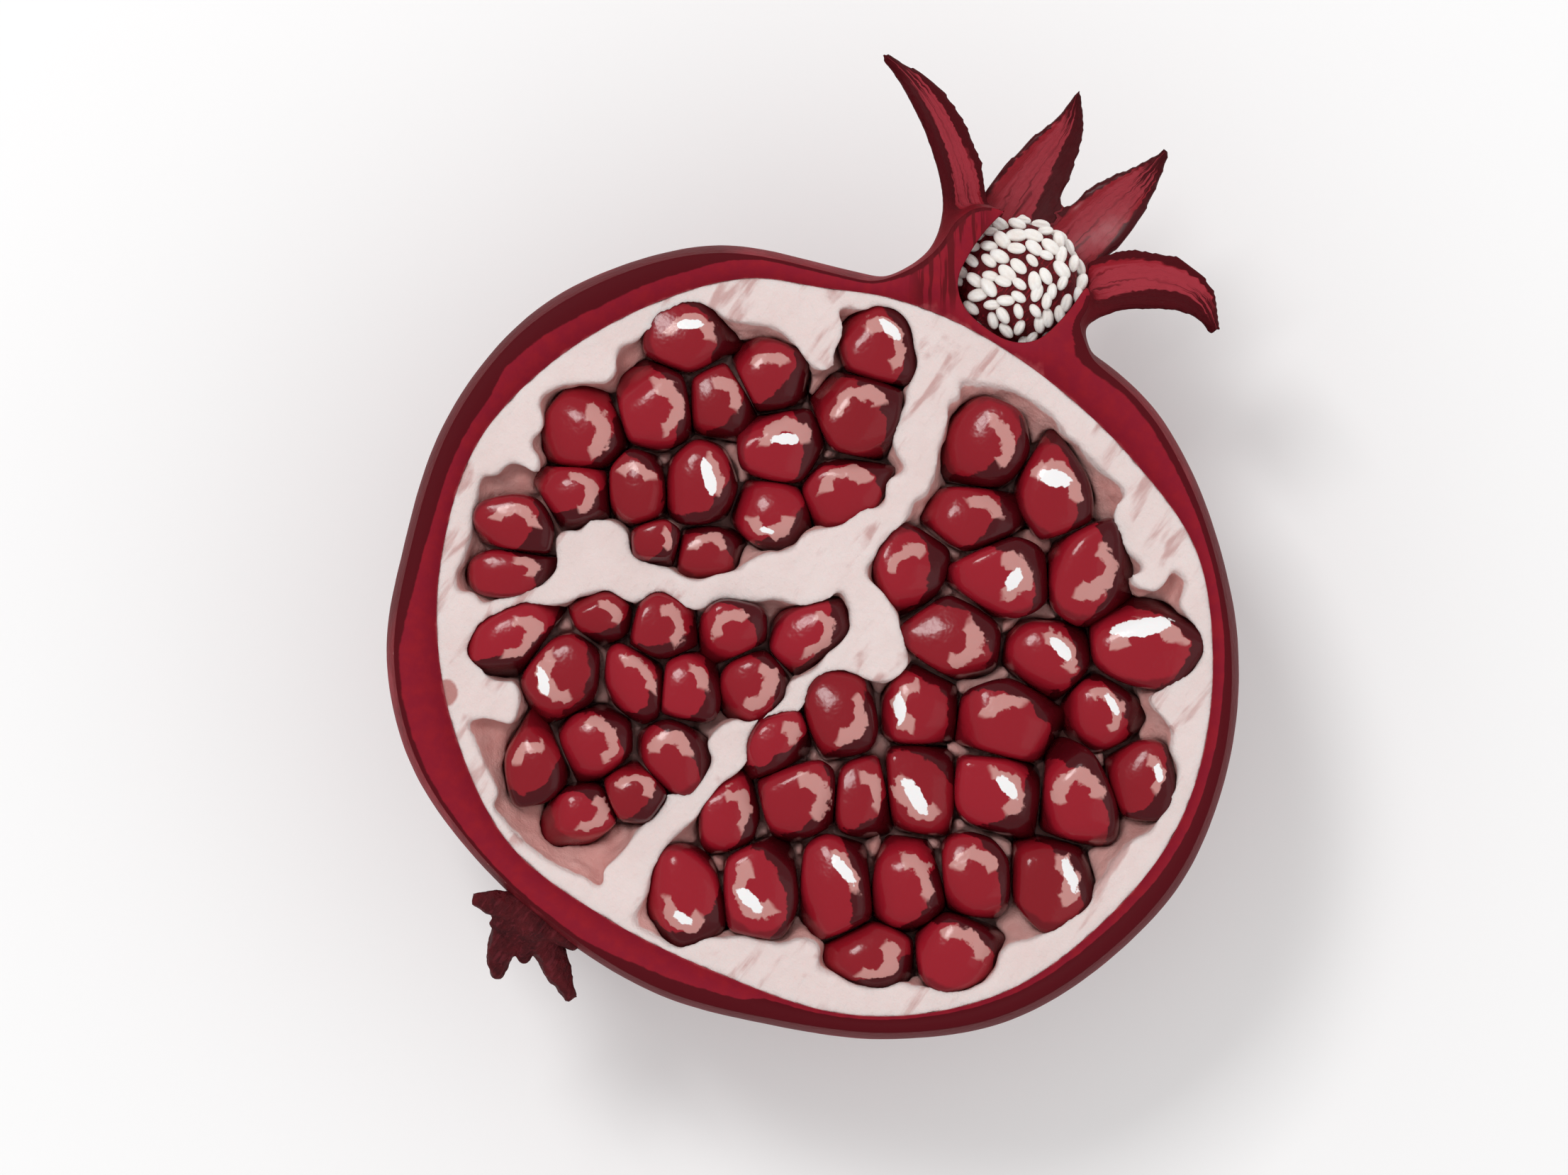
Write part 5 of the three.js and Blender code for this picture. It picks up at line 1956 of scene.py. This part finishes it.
@dataclass(frozen=True)
class Pith:
    """The pale flesh, with its three chambers and the hollows that the arils press into it."""

    fruit: Fruit
    depth: float = 3.7
    grain: float = 0.5
    socket_grow: float = 0.1
    proud: float = 0.05
    hidden_under: float = CUT_Z - 5.5
    kept: float = 0.56

    def dish(self, hollow: Hollow) -> bmesh.types.BMesh:
        """Makes the hollow of one chamber.

        Args:
            hollow: the chamber.

        Returns:
            The solid that is taken away.
        """
        steps = ((1.0, 0.0), (0.99, 0.25), (0.965, 0.6), (0.93, 0.86), (0.88, 1.0))
        floor = CUT_Z - self.depth
        profile: Profile = [(0.0, floor), (0.5, floor)]
        profile += [(share, CUT_Z - depth * self.depth) for share, depth in reversed(steps)]
        profile += [(1.0, CUT_Z + 4), (0.0, CUT_Z + 4)]
        outline = outline_points(CHAMBER_OUTLINE[hollow], CHAMBER_COLUMNS)
        return lofted(outline, place(*CHAMBER_MIDDLE[hollow]), profile)

    def build(self, bunches: Sequence[ArilBunch], paint: bpy.types.Material) -> bpy.types.Object:
        """Makes the flesh and dresses it.

        Args:
            bunches: the arils that press into it.
            paint: its material.

        Returns:
            The piece.
        """
        body = self.fruit.flesh(FLESH_COLUMNS, 0.0, self.proud)
        clay = Clay("pith_clay", [body])
        for bunch in bunches:
            tool = Clay("dish_tool", [self.dish(bunch.hollow), *bunch.sockets(self.socket_grow)])
            clay.carve(tool.fuse(self.grain))
        bm = clay.fuse(self.grain).thin_below(self.hidden_under, self.kept).release()
        soften(bm, 3)
        reshape(bm.verts[:], self._fibrous)
        return finish_piece(bm, "pomegranate_pith", "pith", [paint])

    def _fibrous(self, places: np.ndarray) -> np.ndarray:
        """Roughens the chambers' walls and leaves the cut face almost flat.

        Args:
            places: the vertices' places.

        Returns:
            The places after the move.
        """
        for k, p in enumerate(places):
            if p[2] < CUT_Z - 11:
                continue
            spot = Vector(p)
            inside = min(1.0, max(0.0, (CUT_Z - p[2]) / 2.0))
            push = noise.noise_vector(spot * 0.5)
            flat = Vector((push.x * 0.12, push.y * 0.12, push.z * 0.05))
            places[k] = spot + push * (0.35 * inside) + flat * (1 - inside)
        places[:, 2] = np.minimum(places[:, 2], CUT_Z + 0.12)
        return places


@dataclass(frozen=True)
class Stamens:
    """The bunch of anthers and filaments in the crown's cup."""

    crown: Crown
    y: float = 53.3
    z: float = CUT_Z - 7
    radii: tuple[float, float, float] = (8.4, 8.0, 5.6)
    sunk: float = 0.35
    long: float = 2.5
    wide: float = 1.5
    tall: float = 1.5
    sizes: tuple[float, float] = (0.78, 1.16)
    step: tuple[float, float] = (2.4, 1.5)
    rows: int = 6
    stray: float = 0.5
    spread: float = 0.97
    heading_left: float = 15.0
    heading_fall: float = 85.0
    fall_span: tuple[float, float] = (-2.5, 6.5)
    heading_stray: float = 75.0

    def build(self, anther_paint: bpy.types.Material, filament_paint: bpy.types.Material) -> bpy.types.Object:
        """Makes the bunch and dresses it.

        Args:
            anther_paint: the anthers' material.
            filament_paint: the filaments' material.

        Returns:
            The piece.
        """
        bm = new_ball(48, 24)
        radii = np.array(self.radii) - self.sunk
        middle = np.array([self.crown.cup_x, self.y, self.z])
        reshape(bm.verts[:], lambda p: middle + p * radii)
        for face in bm.faces:
            face.material_index = 1
        small, large = self.sizes
        for i, (spot, turn) in enumerate(self._spots()):
            self._anther(bm, spot, turn, small + (large - small) * draw(i, 3))
        return finish_piece(bm, "pomegranate_stamens", "stamens", [anther_paint, filament_paint])

    def _spots(self) -> list[tuple[Vector, float]]:
        """Places the anthers in rows over the bunch, with their headings.

        Returns:
            Each one's place and heading.
        """
        found: list[tuple[Vector, float]] = []
        rx, ry, rz = self.radii
        start, end = self.fall_span
        for row in range(-self.rows, self.rows + 1):
            for k in range(-self.rows, self.rows + 1):
                i = len(found)
                half = math.fmod(row, 2) / 2
                dx = (k + half + self.stray * (draw(i, 7) - 0.5)) * self.step[0]
                dy = (row + self.stray * (draw(i, 8) - 0.5)) * self.step[1]
                out = (dx / rx) ** 2 + (dy / ry) ** 2
                if out > self.spread:
                    continue
                share = min(1.0, max(0.0, (dx - start) / (end - start)))
                fallen = self.heading_fall * share * share * (3 - 2 * share)
                heading = self.heading_left - fallen + self.heading_stray * (draw(i, 9) - 0.5)
                spot = Vector((self.crown.cup_x + dx, self.y + dy, self.z + rz * math.sqrt(1 - out)))
                found.append((spot, math.radians(heading)))
        return found + self._front_spots(len(found))

    def _front_spots(self, first: int) -> list[tuple[Vector, float]]:
        """Places more anthers on the bunch's lower front, which shows in the cup's mouth.

        Args:
            first: the number of the first one.

        Returns:
            Each one's place and heading.
        """
        found: list[tuple[Vector, float]] = []
        rx, ry, rz = self.radii
        for row in range(self.rows):
            for k in range(-self.rows, self.rows + 1):
                i = first + len(found)
                dx = (k + math.fmod(row, 2) / 2 + self.stray * (draw(i, 7) - 0.5)) * self.step[0]
                dz = -(row + 0.2 + self.stray * (draw(i, 8) - 0.5)) * self.step[1]
                out = (dx / rx) ** 2 + (dz / rz) ** 2
                if out > self.spread:
                    continue
                spot = Vector((self.crown.cup_x + dx, self.y + ry * math.sqrt(1 - out), self.z + dz))
                found.append((spot, math.radians(self.heading_stray * (draw(i, 9) - 0.5))))
        return found

    def _anther(self, bm: bmesh.types.BMesh, spot: Vector, turn: float, size: float) -> None:
        """Adds one anther: an oval bead with a groove along it.

        Args:
            bm: the bunch's mesh.
            spot: its middle.
            turn: its heading.
            size: its size as a share.
        """
        verts = bmesh.ops.create_icosphere(bm, subdivisions=3, radius=1.0)["verts"]
        c, s = math.cos(turn), math.sin(turn)

        def move(p: np.ndarray) -> np.ndarray:
            """Turns the ball's points into the bead's.

            Args:
                p: the vertices' places.

            Returns:
                The places after the move.
            """
            groove = 1 - 0.3 * np.exp(-((p[:, 1] / 0.22) ** 2)) * (p[:, 2] > 0)
            x = p[:, 0] * self.long * size / 2
            y = p[:, 1] * self.wide * size / 2
            z = p[:, 2] * groove * self.tall / 2
            return np.stack([spot.x + x * c - y * s, spot.y + x * s + y * c, spot.z + z], axis=1)

        reshape(verts, move)


@dataclass(frozen=True)
class Stem:
    """The torn, woody stem end."""

    z: float = CUT_Z - 6
    hub: tuple[float, float, float] = (-36.0, -34.6, 3.6)
    grain: float = 0.3

    def strips(self) -> list[Strap]:
        """Gives the strips of the torn collar.

        Returns:
            The strips.
        """
        up = ((0.1, 0.3, 0.95), (0.1, 0.3, 0.95))
        layout = (
            (((-36.5, -33.2, 1), (-40, -32.6, 1.4), (-44, -31.9, 1.2)), (5, 4.4, 3.6, 2.8, 1.3), (3.4, 1.8)),
            (
                ((-36.6, -34, 0.6), (-39, -34.6, 0.9), (-41.6, -35.4, 0.6)),
                (5, 4.4, 3.6, 2.8, 1.4),
                (3.2, 1.8),
            ),
            (((-38, -34.6, 0), (-40.2, -38, -0.4), (-41, -42.2, -1)), (5, 4.2, 3.6, 3, 1.3), (3.6, 2)),
            (((-36.6, -34.8, 0), (-37.2, -37.6, 0.2), (-37.5, -40.2, 0)), (4.6, 3.8, 2.8, 2, 1), (3.2, 1.6)),
            (
                ((-36, -34.8, 0), (-34.2, -38.6, -0.8), (-31.3, -44.9, -1.6)),
                (5, 4.2, 3.8, 3.2, 1.4),
                (3.6, 2.2),
            ),
            (((-36, -34, 1), (-33.2, -36, 1.4), (-30.4, -38.2, 1.2)), (4.6, 3.6, 2.8, 2.2, 1.2), (3.2, 1.8)),
            (((-36, -34.6, -1), (-36.8, -35.6, -4), (-37, -35.4, -6.6)), (6, 5, 4, 3.4, 2), (3.4, 1.8)),
        )
        return [
            Strap(
                path=tuple(tuple(place(u, v, self.z + z)) for u, v, z in path),
                widths=widths,
                looks=up,
                thick=thick,
                cup=0.3,
                edge=0.5,
                wave=0.15,
                cuts=15,
            )
            for path, widths, thick in layout
        ]

    def build(self, paint: bpy.types.Material) -> bpy.types.Object:
        """Makes the stem end and dresses it.

        Args:
            paint: its material.

        Returns:
            The piece.
        """
        hub = new_ball(48, 24)
        middle = place(self.hub[0], self.hub[1], self.z)
        reshape(hub.verts[:], lambda p: np.array(middle[:]) + p * self.hub[2])
        parts = [hub, *(strap.build(seed)[0] for seed, strap in enumerate(self.strips()))]
        bm = Clay("stem_clay", parts).fuse(self.grain).release()
        soften(bm, 3)
        reshape(bm.verts[:], self._gnarled)
        return finish_piece(bm, "pomegranate_stem", "stem", [paint])

    @staticmethod
    def _gnarled(places: np.ndarray) -> np.ndarray:
        """Roughens the wood.

        Args:
            places: the vertices' places.

        Returns:
            The places after the move.
        """
        for k, p in enumerate(places):
            spot = Vector(p)
            push = noise.noise_vector(spot * 0.9) * 0.22 + noise.noise_vector(spot * 2.4) * 0.07
            places[k] = spot + push
        return places


@dataclass(frozen=True)
class Studio:
    """The floor, the lights and the camera."""

    eye_height: float = EYE_HEIGHT
    lens: float = 180.0
    sensor: float = 36.0
    aim: tuple[float, float, float] = (0.0, 0.0, 0.045)
    floor_tone: tuple[float, float, float, float] = (0.985, 0.985, 0.985, 1.0)
    sky: float = 0.74
    sky_in_gloss: float = 0.35

    def build(self) -> None:
        """Sets the whole stage."""
        self._floor()
        self._sky()
        self._lamp("key", place(-0.30, 0.42, 1.0), 0.26, 3.5)
        self._lamp("fill", place(0.70, -0.20, 0.8), 0.8, 0.7)
        self._camera()
        bpy.context.scene.view_settings.view_transform = "Standard"

    def _floor(self) -> None:
        """Lays a plain pale floor."""
        bm = bmesh.new()
        bmesh.ops.create_grid(bm, x_segments=1, y_segments=1, size=3.0)
        mesh = bpy.data.meshes.new("floor")
        bm.to_mesh(mesh)
        bm.free()
        material, _, shader = new_material("floor", Gloss(roughness=0.8))
        shader.inputs["Base Color"].default_value = self.floor_tone
        mesh.materials.append(material)
        floor = bpy.data.objects.new("floor", mesh)
        bpy.context.scene.collection.objects.link(floor)

    def _sky(self) -> None:
        """Fills the surroundings with soft light, whiter behind the fruit and dimmer in its gloss."""
        world = bpy.data.worlds.new("studio")
        world.use_nodes = True
        w = Wiring(world.node_tree)
        soft = next(n for n in world.node_tree.nodes if n.type == "BACKGROUND")
        soft.inputs["Color"].default_value = (1.0, 1.0, 1.0, 1.0)
        path = w.add("ShaderNodeLightPath").outputs
        behind = w.product(path["Is Camera Ray"], 1.0 - self.sky)
        mirrored = w.product(path["Is Glossy Ray"], self.sky - self.sky_in_gloss)
        level = w.sum("SUBTRACT", w.sum("ADD", behind, self.sky), mirrored)
        world.node_tree.links.new(level, soft.inputs["Strength"])
        bpy.context.scene.world = world

    def _lamp(self, name: str, spot: Vector, size: float, power: float) -> None:
        """Adds a soft square lamp that looks at the fruit.

        Args:
            name: the lamp's name.
            spot: its place in metres.
            size: its side in metres.
            power: its power in watts.
        """
        light = bpy.data.lights.new(name, "AREA")
        light.shape = "SQUARE"
        light.size = size
        light.energy = power
        lamp = bpy.data.objects.new(name, light)
        lamp.location = spot
        way = Vector(self.aim) - spot
        lamp.rotation_euler = way.to_track_quat("-Z", "Y").to_euler()
        bpy.context.scene.collection.objects.link(lamp)

    def _camera(self) -> None:
        """Looks straight down on the cut face, with the crown leaning right."""
        data = bpy.data.cameras.new("camera")
        data.lens = self.lens
        data.sensor_width = self.sensor
        data.clip_start = 0.05
        data.clip_end = 20.0
        camera = bpy.data.objects.new("camera", data)
        camera.location = place(*EYE_SPOT, CUT_Z + self.eye_height) * MM
        camera.rotation_euler = (0.0, 0.0, LEAN)
        bpy.context.scene.collection.objects.link(camera)
        bpy.context.scene.camera = camera


def main() -> None:
    """Builds every piece, then the stage."""
    logging.basicConfig(level=logging.INFO, format="%(name)s: %(message)s")
    noise.seed_set(NOISE_SEED)
    effects = Effects()
    fruit, crown = Fruit(), Crown()
    bunches = [ArilBunch(hollow) for hollow in Hollow]
    Rind(fruit, crown).build(RindFinish().build(effects))
    Pith(fruit).build(bunches, PithFinish().build(effects))
    juice = ArilFinish().build()
    for bunch in bunches:
        bunch.build(juice)
    Stamens(crown).build(AntherFinish().build(effects), FilamentFinish().build(effects))
    Stem().build(StemFinish().build(effects))
    Studio().build()


if __name__ == "__main__":
    main()
